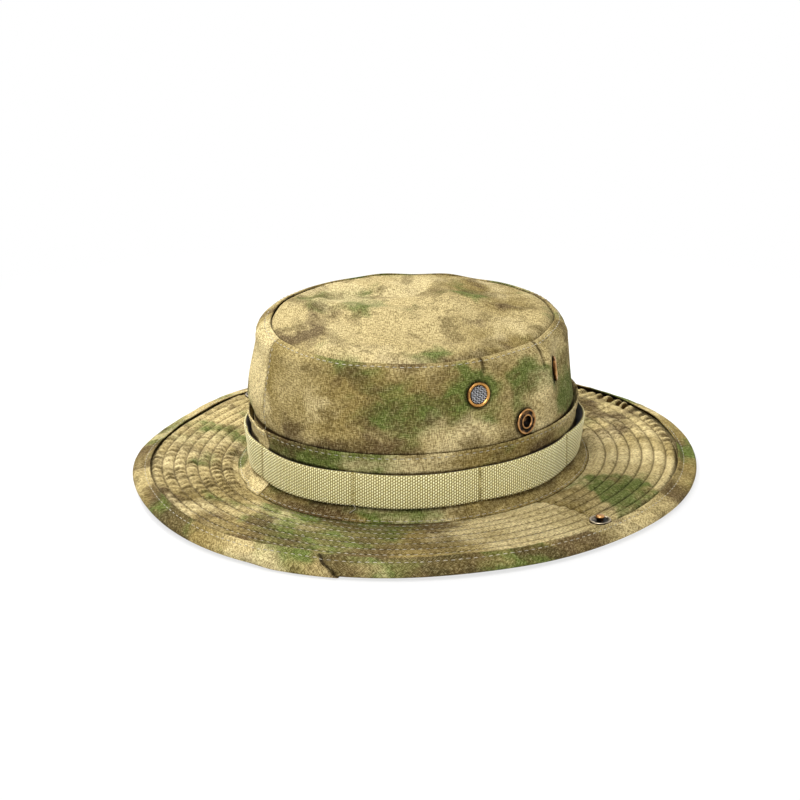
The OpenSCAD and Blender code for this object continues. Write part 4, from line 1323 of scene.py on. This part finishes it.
def top_panel():
    """A disc in rings: share f from the edge to the middle, which one fan of triangles closes."""
    f = np.linspace(1, 0, TOP_RINGS, endpoint=False)[:, None] ** TOP_SPREAD
    t = np.linspace(0, TURN, TOP_COLS, endpoint=False)[None]
    w = (SEAM_W - TOP_TUCK) * f + shoulder_out(t) * f ** DRAWN_POWER
    x, y = w * np.cos(t), (w + LONGER * f) * np.sin(t)
    rings = np.stack(np.broadcast_arrays(x, y, top_height(f, t)), -1)
    peak = np.array([[0, 0, top_height(np.zeros(1), np.zeros(1))[0]]])
    points = np.concatenate([rings.reshape(-1, 3), peak])
    quads = grid_quads(TOP_RINGS, TOP_COLS, closed=True)[:, OTHER_WAY]
    ring = np.arange(TOP_COLS) + (TOP_RINGS - 1) * TOP_COLS
    fan = np.stack([ring, np.roll(ring, -1), np.full(TOP_COLS, len(points) - 1)], -1)
    bias = np.array([[math.cos(BIAS), math.sin(BIAS)], [-math.sin(BIAS), math.cos(BIAS)]])
    cloth = points[:, :2] @ bias + TOP_CUT
    piece = new_piece("crown_top_panel", points, [quads, fan], CAMOUFLAGE, cloth)
    # Painted shade: even over the whole panel, and deeper in a band beside the seam.
    dark = np.maximum(TOP_EVEN_SHADE, seam_painted_shade(t) * bell((1 - f) * SEAM_W, TOP_DARK_W))
    add_value(piece, "painted_shade", np.append(np.broadcast_to(dark, (TOP_RINGS, TOP_COLS)), TOP_EVEN_SHADE))
    add_value(piece, "shade", TOP_SHADE)
    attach(with_thickness(piece, CLOTH_T), "crown")
    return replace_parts(piece, "crown_top")


print("top panel faces:", len(top_panel().data.polygons))

# %% [markdown]
# ### Stitching of the crown
# One row runs below the top seam and holds its turned edges. A shorter stitch runs up beside each upright
# seam. Their paths are columns and rows of the same formula as the panels.

# %% Rows below the top seam and beside the upright seams
TOPSTITCH_IN = 3
TOP_ROW_POINTS = 1400
TOP_ROW_OUT, TOP_ROW_UP = 0.75, 0.66
UPRIGHT_OFF, UPRIGHT_SHORT = 3.0 * MM, 12
UPRIGHT_PITCH, UPRIGHT_LENGTH = 3.2 * MM, 2.2 * MM

ring_t = np.linspace(0, TURN, TOP_ROW_POINTS)
row = len(side_w) - WELT_ROWS - TOPSTITCH_IN
ring_path = crown_side(np.full_like(ring_t, side_w[row]), ring_t, np.full_like(ring_t, side_z[row]))
ring_normal = outward(side_w[row], ring_t) * TOP_ROW_OUT + np.array([0, 0, TOP_ROW_UP])
crown_rows = [stitches(ring_path, ring_normal)]
up_w, up_z = side_w[:-UPRIGHT_SHORT], side_z[:-UPRIGHT_SHORT]
for angle in SEAM_ANGLES:
    beside = np.full(len(up_z), angle + UPRIGHT_OFF / WALL_W)
    crown_rows.append(stitches(crown_side(up_w, beside, up_z), outward(up_w, beside),
                               pitch=UPRIGHT_PITCH, length=UPRIGHT_LENGTH))
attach(thread_piece("crown_stitches", crown_rows), "crown")

# %% [markdown]
# ## Hat band
# A strip of the same cloth goes round the crown; its foot flares over the join with the brim and its end
# laps over its beginning. Its upper edge is turned in and sewn, and gapes where the crown leans away.

# %% Face of the hat band
BAND_T, BAND_FIT = 1.0 * MM, 0.3 * MM
FOOT_H, FLARE_POWER = TAPE_Z - BAND_Z, 1.6
LAP_END, LAP, LAP_FIT, LAP_CLIMB = math.radians(79), math.radians(7), 0.2 * MM, 1.6
GAPES = ((math.radians(66), math.radians(34)), (math.radians(238), math.radians(30)))
GAP, GAPE, GAP_UNEVEN, GAP_WAVE, GAPE_H = 0.25, 2.0, 0.25, (30, 61), 9 * MM
BAND_WAVE = (0.3 * MM, 60, 10 * MM, 6, 62)
TURN_IN, TURN_IN_Z = 0.45 * MM, (BAND_TOP - 5.5 * MM, BAND_TOP - 4.5 * MM)
BAND_PRESS, BAND_ROW_Z, BAND_PRESS_W = 0.3 * MM, 2.2 * MM, 0.9 * MM


def band_gap(t):
    """Stand-off of the strip's upper edge from the crown: it gapes towards the two ends of the view."""
    gape = np.maximum(near_angle(t, *GAPES[0]), near_angle(t, *GAPES[1]))
    return (GAP + GAPE * gape + GAP_UNEVEN * round_bumps(t, *GAP_WAVE)) * MM


def band_face(t, z):
    """Half width of the strip's outer face: wall, cloth, the flare of the foot and the gaping top."""
    down = np.clip(1 - (z - BAND_Z) / FOOT_H, 0, 1)
    flare = (FOOT_W - WALL_W - BAND_T - BAND_FIT) * down ** FLARE_POWER
    gape = band_gap(t) * ease(BAND_TOP - GAPE_H, BAND_TOP, z)
    turned_in = TURN_IN * ease(*TURN_IN_Z, z)
    press = -BAND_PRESS * bell(z - BAND_TOP + BAND_ROW_Z, BAND_PRESS_W)
    return wall_w(z) + BAND_FIT + BAND_T + flare + gape + skin_bumps(t, z, *BAND_WAVE) + turned_in + press


def band_lap(t):
    """Extra height of the end of the strip where it lies over its beginning."""
    end = LAP_END + TURN
    return (BAND_T + LAP_FIT) * ease(end - LAP_CLIMB * LAP, end - LAP, t)


print("foot of the band: %.1f mm high" % (FOOT_H / MM))

# %% Hat band strip
BAND_COLS = 720
FOOT_ROWS, BAND_ROWS = 12, 26
BAND_CUT = (0.22, 0.86)
THIN_EDGE, THIN_EDGE_H = 0.35, 0.8 * MM
PALE_END, DARK_START = 0.07, 0.06
# Reach of the painted shade behind the webbing, beyond its edges and inside them.
SHUT_OUT, SHUT_IN = 1 * MM, 0.4 * MM
FOOT_ROW_Z = 0.8 * MM


def hat_band():
    """A closed strip: up the outer face and down the inner face, once round and a little more."""
    z = np.concatenate([np.linspace(BAND_Z, BAND_Z + FOOT_H, FOOT_ROWS, endpoint=False),
                        np.linspace(BAND_Z + FOOT_H, BAND_TOP, BAND_ROWS)])[None]
    end = LAP_END + TURN
    t = np.linspace(LAP_END - LAP, end, BAND_COLS)[:, None]
    outer = band_face(t, z) + band_lap(t)
    thick = BAND_T * (1 - THIN_EDGE * ease(BAND_TOP - THIN_EDGE_H, BAND_TOP, z))
    loops = np.concatenate([oval(outer, t, z), oval(outer - thick, t, z)[:, ::-1]], axis=1)
    points, quads = closed_strip(loops)
    run = run_along(outer[0], z[0])
    cloth = np.stack(np.broadcast_arrays(WALL_W * t.T, np.append(run, run[::-1])[:, None]), -1) + BAND_CUT
    piece = facing_out(new_piece("hat_band_strip", points, [quads], CAMOUFLAGE, cloth.reshape(-1, 2)))
    paler = PALE_END * ease(end - 4 * LAP, end - 2 * LAP, t)
    darker = DARK_START * ease(LAP_END + 8 * LAP, LAP_END, t)
    add_value(piece, "shade", np.broadcast_to((paler - darker).T, loops.shape[1::-1]))
    # Painted shade on the strip where the webbing lies over it, on both faces.
    web_shade = ease(TAPE_Z - SHUT_OUT, TAPE_Z + SHUT_IN, z) * ease(TAPE_TOP + SHUT_OUT, TAPE_TOP - SHUT_IN, z)
    web_shade = DARKEST * np.append(web_shade, web_shade[:, ::-1])
    add_value(piece, "painted_shade", np.broadcast_to(web_shade[:, None], loops.shape[1::-1]))
    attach(piece, "crown")
    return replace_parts(piece, "hat_band")


def band_row(z):
    """Stitches of a row on the strip at height z."""
    t = np.linspace(LAP_END, LAP_END + TURN, TOP_ROW_POINTS)
    w = band_face(t, np.full_like(t, z)) + band_lap(t)
    return stitches(oval(w, t, z), outward(w, t))


print("band quads:", len(hat_band().data.polygons))
band_rows = [band_row(BAND_TOP - BAND_ROW_Z), band_row(BAND_Z + FOOT_ROW_Z)]
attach(thread_piece("hat_band_stitches", band_rows), "crown")

# %% [markdown]
# ## Webbing
# On the band lies a khaki webbing, tacked every few centimetres, so that it stands off between the tacks as
# loops for twigs and leaves. Its weave is coarse enough to see, so it is modelled in the surface: every pick
# is a small hill of the outer face.

# %% Course of the webbing
TACK_FIRST, TACK_PITCH, TACK_COUNT = math.radians(75), math.radians(42.5), 9
WEB_T, WEB_FIT = 1.3 * MM, 0.3 * MM
WEB_BULGE, WEB_UNEVEN, WEB_WAVE, WEB_ROUND = 2.0 * MM, 0.25, (9, 71), 0.8
WEB_FLARE, FLARE_MIDDLE, FLARE_AT = 3.0 * MM, 0.35, (math.radians(226), math.radians(26))
WEB_LOW, LOW_MIDDLE, LOW_AT = 1.8 * MM, 0.6, (math.radians(180), math.radians(16))
WEB_LOOSE, LOOSE_FROM, LOOSE_AT = 2.6 * MM, 0.25, (math.radians(52), math.radians(16))


def loop_share(t):
    """Share of the way from one tack to the next at angle t, and the span of that loop."""
    turned_by = (t - TACK_FIRST) % TURN
    loop = np.clip(np.floor(turned_by / TACK_PITCH), 0, TACK_COUNT - 1)
    span = np.where(loop < TACK_COUNT - 1, TACK_PITCH, TURN - (TACK_COUNT - 1) * TACK_PITCH)
    return (turned_by - loop * TACK_PITCH) / span, span


def web_face(t, z):
    """Half width of the webbing's outer face: the strip below it, plus a sine bulge between two tacks.

    It leans out at the top of one loop, at the foot of another, and where the top of a tack has come loose.
    """
    share, span = loop_share(t)
    rise = np.sin(math.pi * share) ** WEB_ROUND * span / TACK_PITCH
    up = (z - TAPE_Z) / (TAPE_TOP - TAPE_Z)
    flare = WEB_FLARE * (up - FLARE_MIDDLE) * near_angle(t, *FLARE_AT)
    flare = flare + WEB_LOW * (LOW_MIDDLE - up) * near_angle(t, *LOW_AT)
    loose = WEB_LOOSE * np.clip(up - LOOSE_FROM, 0, 1) * near_angle(t, *LOOSE_AT)
    base = wall_w(z) + BAND_FIT + BAND_T + WEB_FIT + WEB_T
    return base + rise * (WEB_BULGE * (1 + WEB_UNEVEN * round_bumps(t, *WEB_WAVE)) + flare) + loose


print("span of a loop: %.0f mm" % (TACK_PITCH * (WALL_W + LONGER / 2) / MM))

# %% Webbing loops
PICK_ALONG, PICK_ACROSS = 1.38 * MM, 1.75 * MM
PICK_STEPS, PICK_START = 4, 0.125
WEAVE, WEAVE_MEAN = 0.7 * MM, 0.4
SELVEDGE, SELVEDGE_SINK = 0.8 * MM, 0.4 * MM
WEB_ROWS, WEB_BACK_ROWS = 38, 5
WEB_STAND, WEB_OFF = 6 * MM, 4 * MM
WEB_PICKS = 2 * round(math.pi * (WALL_W + LONGER / 2 + WEB_STAND) / PICK_ALONG)
WEB_COLS = PICK_STEPS * WEB_PICKS
# Painted shade in the pinch of the webbing beside each tack: how strong and how wide.
SEWN_SHADE, SEWN_W = 0.85, 0.9 * MM


def webbing_loops():
    """A ring of webbing: the woven outer face and a plain inner face, both from edge to edge.

    The weave is raised where a pick passes over: a cosine along times a cosine across, the picks of every
    second column moved by half a pitch.
    """
    turn = np.linspace(0, TURN, WEB_COLS + 1)
    t = (TACK_FIRST + turn[:-1])[:, None]
    z = np.linspace(TAPE_Z, TAPE_TOP, WEB_ROWS)[None]
    pick = np.arange(WEB_COLS)[:, None] / PICK_STEPS + PICK_START
    over = 0.5 - 0.5 * np.cos(TURN * pick)
    across = 0.5 + 0.5 * np.cos(TURN * (z / PICK_ACROSS + 0.5 * (np.floor(pick) % 2)))
    edge = ease(0, SELVEDGE, z - TAPE_Z) * ease(0, SELVEDGE, TAPE_TOP - z)
    weave, sink = WEAVE * (over * across - WEAVE_MEAN), SELVEDGE_SINK * (1 - edge)
    back_z = np.linspace(TAPE_TOP, TAPE_Z, WEB_BACK_ROWS)[None]
    back = oval(web_face(t, back_z) - WEB_T, t, back_z)
    loops = np.concatenate([oval(web_face(t, z) + weave - sink, t, z), back], axis=1)
    points, quads = closed_ring(loops)
    cloth = ring_cloth((WALL_W + LONGER / 2) * turn, loops[..., 2])
    piece = facing_out(new_piece("webbing_loops", points, [quads], WEBBING, cloth))
    share, span = loop_share(t)
    # Beside a tack the picks take the painted shade of the gaps between picks.
    sewn = 1 - SEWN_SHADE * bell(np.minimum(share, 1 - share) * span * WALL_W, SEWN_W)
    add_value(piece, "raised", np.concatenate([over * across * sewn, np.full(back.shape[:2], -1.0)], axis=1))
    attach(piece, "crown")
    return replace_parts(piece, "loop_band")


print("webbing picks:", WEB_PICKS, "quads:", len(webbing_loops().data.polygons))

# %% [markdown]
# ### Tacks
# A tack is a dense zigzag across the webbing, through the band and the crown. The stitches lean one way on
# one tack and the other way on the next, as the machine goes to and fro.

# %% Tacks of the webbing
TACK_POINTS, TACK_END, TACK_OUT = 60, 0.6 * MM, 0.1 * MM
TACK_STEP, TACK_LENGTH, TACK_R = 1.15 * MM, 2.2 * MM, 0.28 * MM
TACK_SLANTS = (math.radians(118), math.radians(62))

tack_rows = []
for k in range(TACK_COUNT):
    z = np.linspace(TAPE_Z + TACK_END, TAPE_TOP - TACK_END, TACK_POINTS)
    t = np.full_like(z, TACK_FIRST + k * TACK_PITCH)
    w = web_face(t, z) + TACK_OUT
    tack_rows.append(stitches(oval(w, t, z), outward(w, t), pitch=TACK_STEP, length=TACK_LENGTH,
                              radius=TACK_R, slant=TACK_SLANTS[k % 2]))
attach(thread_piece("webbing_tacks", tack_rows, KHAKI_THREAD), "crown")

# %% [markdown]
# ### Ends of thread that were not trimmed
# One tack ends in a curled tail, and two ends stand up from the brim. Each is a fine tube along a short arc.

# %% Loose ends
TAIL_R, TAIL_CORNERS, TAIL_STEPS = 0.3 * MM, 6, 14
HANG_CURL, HANG_TURN = 1.5 * MM, 4.4
HANG_OFF, HANG_OUT, HANG_TOP, HANG_DROP = 0.2, 1.6, 0.8, 4.6
STAND_LONG, STAND_OUT, STAND_HIGH, STAND_TURN = 2.6 * MM, 1.2 * MM, 1.3 * MM, 2.6
STANDING = ((122.5, 128.2 * MM), (111.0, 132.2 * MM))


def tail(t, w, z):
    """A closed tube of six corners along the curve of angles t, half widths w and heights z."""
    ring = ring_angles(TAIL_CORNERS)[:, None]
    side = outward(w, t)[:, None] * np.cos(ring) + np.array([0, 0, 1.0]) * np.sin(ring)
    return closed_strip(oval(w, t, z)[:, None] + TAIL_R * side)


s = np.linspace(0, 1, TAIL_STEPS)
hang_t = TACK_FIRST + TACK_PITCH + HANG_CURL / WALL_W * np.sin(HANG_TURN * s)
hang_w = web_face(hang_t, TAPE_Z + 0 * s) + (HANG_OFF + HANG_OUT * s) * MM
ends = [tail(hang_t, hang_w, TAPE_Z + (HANG_TOP - HANG_DROP * s) * MM)]
for at, w in STANDING:
    t = math.radians(at) + STAND_LONG / w * (s - 0.5)
    z = brim_top(np.full_like(t, w), t) + STAND_HIGH * np.sin(STAND_TURN * s)
    ends.append(tail(t, w + STAND_OUT * (s - 0.5), z))
points, quads = joined(ends)
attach(facing_out(new_piece("thread_ends", points, [quads], THREAD)), "crown")
print("loose ends of thread:", len(ends))

# %% [markdown]
# ## Inside: the sweatband
# A folded band of plain cotton lines the lower crown. It shows when the hat is turned over, so it gets its
# own soft roll and weave.

# %% Sweatband
SWEAT_COLS, SWEAT_ROWS = 420, 26
SWEAT_FIT, SWEAT_T, SWEAT_PAD, SWEAT_ROUND = 0.5 * MM, 0.7, 0.7, 0.5
SWEAT_WAVE = (0.25 * MM, 50, 12 * MM, 4, 81)


def sweatband():
    """A ring inside the wall: the face towards the head is padded by a slow swell up its height."""
    low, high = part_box("sweatband")
    z = np.linspace(low.z, high.z, SWEAT_ROWS)[None]
    turn = np.linspace(0, TURN, SWEAT_COLS + 1)
    t = turn[:-1, None]
    outer = wall_w(z) - CLOTH_T - SWEAT_FIT
    swell = np.sin(math.pi * (z - low.z) / (high.z - low.z)) ** SWEAT_ROUND
    inner = outer - (SWEAT_T + SWEAT_PAD * swell) * MM - skin_bumps(t, z, *SWEAT_WAVE)
    loops = np.concatenate([oval(outer, t, z), oval(inner, t, z)[:, ::-1]], axis=1)
    points, quads = closed_ring(loops)
    cloth = ring_cloth((WALL_W + LONGER / 2) * turn, loops[..., 2])
    piece = facing_out(new_piece("sweatband_lining", points, [quads], LINING, cloth))
    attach(piece, "crown")
    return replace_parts(piece, "sweatband")


print("sweatband quads:", len(sweatband().data.polygons))

# %% [markdown]
# ## Screens of the vents
# A vent lets air in and keeps insects out through a screen of woven wire. Each wire goes over and under its
# neighbours, so it is a fine tube round a sine, cut to the circle of the frame's own disc.

# %% Woven screens
WIRE_PITCH, WIRE_R = 1.05 * MM, 0.19 * MM
WIRE_STEPS, WIRE_CORNERS = 30, 4


def woven_wires(centre, across, up, out, radius):
    """Wires both ways inside a circle: each is a tube round a sine that passes over and under the others."""
    parts = []
    count = int(radius / WIRE_PITCH)
    ring = ring_angles(WIRE_CORNERS)
    for lead, side, phase in ((across, up, 0.0), (up, across, math.pi)):
        for k in range(-count, count + 1):
            reach = math.sqrt(max(radius ** 2 - (k * WIRE_PITCH) ** 2, 0))
            s = np.linspace(-reach, reach, WIRE_STEPS)[:, None]
            lift = WIRE_R * np.cos(math.pi * s / WIRE_PITCH + math.pi * k + phase)
            y, z = k * WIRE_PITCH + WIRE_R * np.cos(ring), lift + WIRE_R * np.sin(ring)
            tube = centre + s[..., None] * lead + y[None, :, None] * side + z[..., None] * out
            parts.append(closed_strip(tube))
    return joined(parts)


def screen(name):
    """A screen in the plane of the frame's own disc: its least spread gives the way it faces."""
    centre, across, up, out = facing(name)
    radius = np.abs((node_points(name) - centre) @ across).max()
    points, quads = woven_wires(centre, across, up, out, radius)
    piece = facing_out(new_piece(name + "_wires", with_fold(name, points), [quads], WIRE))
    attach(piece, "crown")
    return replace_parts(piece, name)


screens = [screen(name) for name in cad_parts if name.endswith("_vent_screen")]
print("screens:", len(screens), "of", [len(one.data.polygons) for one in screens], "quads")

# %% [markdown]
# ## Turned metal
# Vent rims and snaps are pressed from sheet brass on round tools, so each is a profile turned about its
# axis. A row of a profile holds the radius and height in millimetres and how much use has rubbed it bright;
# low values at the foot of a piece, where it meets the cloth, also stand for painted shade.

# %% Profiles and turning
TURN_STEPS = 56
# A vent rim's foot, where it meets the cloth, has no rubbing, so it stays dark as painted shade.
VENT_RIM = ((5.2, -0.9, 0.0), (5.2, -0.1, 0.2), (5.3, 0.4, 0.7), (5.7, 0.85, 1.0), (6.3, 1.0, 1.0),
            (6.8, 0.8, 0.7), (7.1, 0.35, 0.3), (7.2, -0.2, 0.0), (7.0, -0.7, 0.0))
SOCKET = ((0, -3.5, 0.0), (3.1, -3.5, 0.0), (3.2, -0.4, 0.0), (3.25, 0.3, 0.3), (3.45, 0.55, 1.0),
          (3.8, 0.6, 1.0), (4.15, 0.45, 0.6), (4.4, 0.15, 0.0), (4.9, 0.05, 0.1), (6.1, 0.05, 0.2),
          (6.5, 0.3, 0.8), (6.9, 0.4, 1.0), (7.25, 0.2, 0.8), (7.4, -0.2, 0.3), (7.35, -0.9, 0.0),
          (4.6, -1.1, 0.0), (4.4, -4.0, 0.0), (0, -4.0, 0.0))
FLANGE = ((2.0, -0.1, 0.0), (2.0, 0.35, 0.0), (2.6, 0.3, 0.0), (3.6, 0.3, 0.1), (4.5, 0.42, 0.2),
          (5.1, 0.75, 0.6), (5.5, 0.95, 1.0), (5.9, 0.92, 1.0), (6.15, 0.6, 0.7), (6.2, 0.2, 0.2),
          (6.1, -0.1, 0.0))
KNOB = ((0, 0.3, 0.0), (1.9, 0.3, 0.0), (1.9, 0.7, 0.0), (1.9, 1.5, 0.0), (2.2, 1.9, 0.3), (2.5, 2.2, 0.7),
        (2.55, 2.7, 1.0), (2.35, 3.1, 1.0), (1.8, 3.4, 1.0), (0.9, 3.55, 0.9), (0, 3.6, 0.9))


def turned(name, profile, centre, across, up, out, material):
    """A turned piece: rows of radius and height in mm carried round the axis; a row on the axis is a pole.

    A profile that starts or ends on the axis is closed there by a fan of triangles, and one that doesn't
    is a closed loop, so its last row joins its first.
    """
    r, h, rub_and_shade = np.array(profile).T
    poles = r == 0
    rows = np.flatnonzero(~poles)
    a = ring_angles(TURN_STEPS)
    way = np.cos(a)[:, None] * across + np.sin(a)[:, None] * up
    rings = centre + r[rows, None, None] * MM * way + h[rows, None, None] * MM * out
    walk = np.arange(len(rows) * TURN_STEPS).reshape(-1, TURN_STEPS)
    quads = grid_quads(len(rows), TURN_STEPS, ring=not poles.any(), closed=True)[:, OTHER_WAY]
    tips = centre + h[poles, None] * MM * out
    tip = walk.size + np.arange(len(tips))
    fans = [np.stack([np.roll(walk[k], turn, 0), walk[k], np.full(TURN_STEPS, n)], -1)
            for k, turn, n in zip((0, -1), (-1, 1), tip)]
    points = np.concatenate([rings.reshape(-1, 3), tips])
    piece = facing_out(new_piece(name, with_fold(name, points), [quads, *fans], material))
    return add_value(piece, "rub_and_shade", np.append(np.repeat(rub_and_shade[rows], TURN_STEPS), rub_and_shade[poles]))


print("rows of the profiles:", [len(profile) for profile in (VENT_RIM, SOCKET, FLANGE, KNOB)])

# %% [markdown]
# ### Rims, sockets, washers and studs
# Each turned piece takes its place from the frame's node that it stands for. A rim and a socket are set in
# from the node's outer face, so that they bite into the cloth. A stud has a dark flange and a brass knob.

# %% Turned pieces at their places
WASHER_T, WASHER_ROUND = 0.7 * MM, 0.2
RIM_SINK, SOCKET_SINK = 1.0 * MM, 0.6 * MM
STUD_HIGH = 4.8 * MM
LEVEL = (np.array([1.0, 0, 0]), np.array([0, 1.0, 0]), np.array([0, 0, 1.0]))


def washer_profile(inner, outer):
    """A flat ring between two radii in mm, with one rounded outer edge."""
    h = WASHER_T / 2 / MM
    return ((inner, -h, 0.2), (outer - WASHER_ROUND, -h, 0.4), (outer, WASHER_ROUND - h, 0.8),
            (outer, h, 0.4), (inner, h, 0.2))


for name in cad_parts:
    if name.endswith(("_vent_rim", "_socket")):
        centre, across, up, out = facing(name)
        face = ((node_points(name) - centre) @ out).max() * out
        if name.endswith("_socket"):
            profile, sink, brass = SOCKET, SOCKET_SINK, AGED_BRASS
        else:
            profile, sink, brass = VENT_RIM, RIM_SINK, BRASS
        made = turned(name + "_turned", profile, centre + face - sink * out, across, up, out, brass)
        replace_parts(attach(made, "crown"), name)
    elif name.endswith("_vent_washer"):
        centre, across, up, out = facing(name)
        spread = np.linalg.norm(np.cross(node_points(name) - centre, out), axis=-1) / MM
        ring = washer_profile(spread.min(), spread.max())
        made = turned(name + "_turned", ring, centre, across, up, out, AGED_BRASS)
        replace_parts(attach(made, "crown"), name)
    elif name.endswith("_stud"):
        low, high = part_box(name)
        seat = np.array([(low.x + high.x) / 2, (low.y + high.y) / 2, high.z - STUD_HIGH])
        body = name.replace("_stud", "_brim")
        flange = turned(name + "_flange", FLANGE, seat, *LEVEL, GUNMETAL)
        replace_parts(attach(flange, body), name)
        knob = turned(name + "_knob", KNOB, seat, *LEVEL, AGED_BRASS)
        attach(knob, body)
        print(name, "seat at %.2f mm" % (seat[2] / MM))

# %% [markdown]
# ### Caps
# The caps behind the snaps are plain pressed discs. The frame's own shapes are right for them, so they stay
# and only take a finish.

# %% Finishes of the caps that stay as the frame has them
CAP_METALS = {"_socket_cap": AGED_BRASS, "_stud_cap": GUNMETAL}


def dress(name, material):
    """Puts a finish on a frame node."""
    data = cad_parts[name].data
    data.materials.clear()
    data.materials.append(material)


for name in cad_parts:
    for ending, material in CAP_METALS.items():
        if name.endswith(ending):
            dress(name, material)
            print(name, "in", material.name)

# %% [markdown]
# ## Floor and room
# A product photograph stands on a pale floor in a white room, with a soft shadow. The floor and the room
# show white to the camera and in polished metal, and light the hat at a plain level.

# %% Floor and room
FLOOR_HALF, FLOOR_BELOW = 4.0, 0.2 * MM
FLOOR_WHITE = 0.74
SHADOW_FADE, UNDER_CROWN = (0.2, 0.5), (0.085, 0.1)
ROOM_LIGHT = 0.40
WHITE = (1, 1, 1, 1)


def seen_straight(tree):
    """1 for rays from the camera, off polished metal or through glass, and 0 for those that light cloth."""
    path = tree.nodes.new("ShaderNodeLightPath").outputs
    straight = tree.math("MAXIMUM", path["Is Camera Ray"], path["Is Glossy Ray"])
    return tree.math("MAXIMUM", straight, path["Is Transmission Ray"])


def floor_finish():
    """A pale floor with a share of plain white where it is seen straight, so that a soft shadow is left.

    The share grows from FLOOR_WHITE beside the hat to 1 further out, and is 0 below the crown, where no
    white may show through the vents.
    """
    tree = Tree("pale_floor")
    tree.finish(Base_Color=paint(250, 250, 250), Roughness=0.9, Specular_IOR_Level=0.0)
    from_hat = tree.node("ShaderNodeVectorMath", out=1, settings={"operation": "LENGTH"}, i0=tree.place())
    white = tree.times(tree.band(from_hat, *SHADOW_FADE), 1 - FLOOR_WHITE)
    white = tree.times(tree.math("ADD", white, FLOOR_WHITE), tree.band(from_hat, *UNDER_CROWN))
    share = tree.times(seen_straight(tree), white)
    glow = tree.node("ShaderNodeEmission", Color=WHITE)
    mixed = tree.node("ShaderNodeMixShader", i0=share, i1=tree.shader.outputs[0], i2=glow)
    tree.put(tree.nodes["Material Output"].inputs["Surface"], mixed)
    return tree.owner


corner = np.array([[-1, -1, 0], [1, -1, 0], [1, 1, 0], [-1, 1, 0]]) * FLOOR_HALF
floor = new_piece("floor", corner - [0, 0, FLOOR_BELOW], [np.array([[0, 1, 2, 3]])], floor_finish())

room = Tree("room", "worlds")
bpy.context.scene.world = room.finish(
    Color=WHITE, Strength=room.between(seen_straight(room), ROOM_LIGHT, 1.0))
print("floor of", 2 * FLOOR_HALF, "m; the room lights at", ROOM_LIGHT, "and shows at 1")

# %% [markdown]
# ## Lamps
# Two square lamps do the rest: a small one at the far left makes the quilting stand out, and a broad one
# near the camera fills the shadows.

# %% Lamps
KEY_PLACE, KEY_SIZE, KEY_POWER = (1.00, -0.10, 1.20), 0.45, 30
FILL_PLACE, FILL_SIZE, FILL_POWER = (-0.55, 0.80, 1.25), 0.9, 23


def soft_lamp(name, place, size, power):
    """A square lamp of that size, in metres, aimed at the crown."""
    data = bpy.data.lights.new(name, "AREA")
    data.shape = "SQUARE"
    data.size = size
    data.energy = power
    lamp = bpy.data.objects.new(name, data)
    lamp.location = place
    lamp.rotation_euler = (CAMERA_AIM - Vector(place)).to_track_quat("-Z", "Y").to_euler()
    bpy.context.scene.collection.objects.link(lamp)
    print(name, "of", power, "W")


soft_lamp("lamp_key", KEY_PLACE, KEY_SIZE, KEY_POWER)
soft_lamp("lamp_fill", FILL_PLACE, FILL_SIZE, FILL_POWER)
bpy.context.scene.view_settings.view_transform = "Standard"
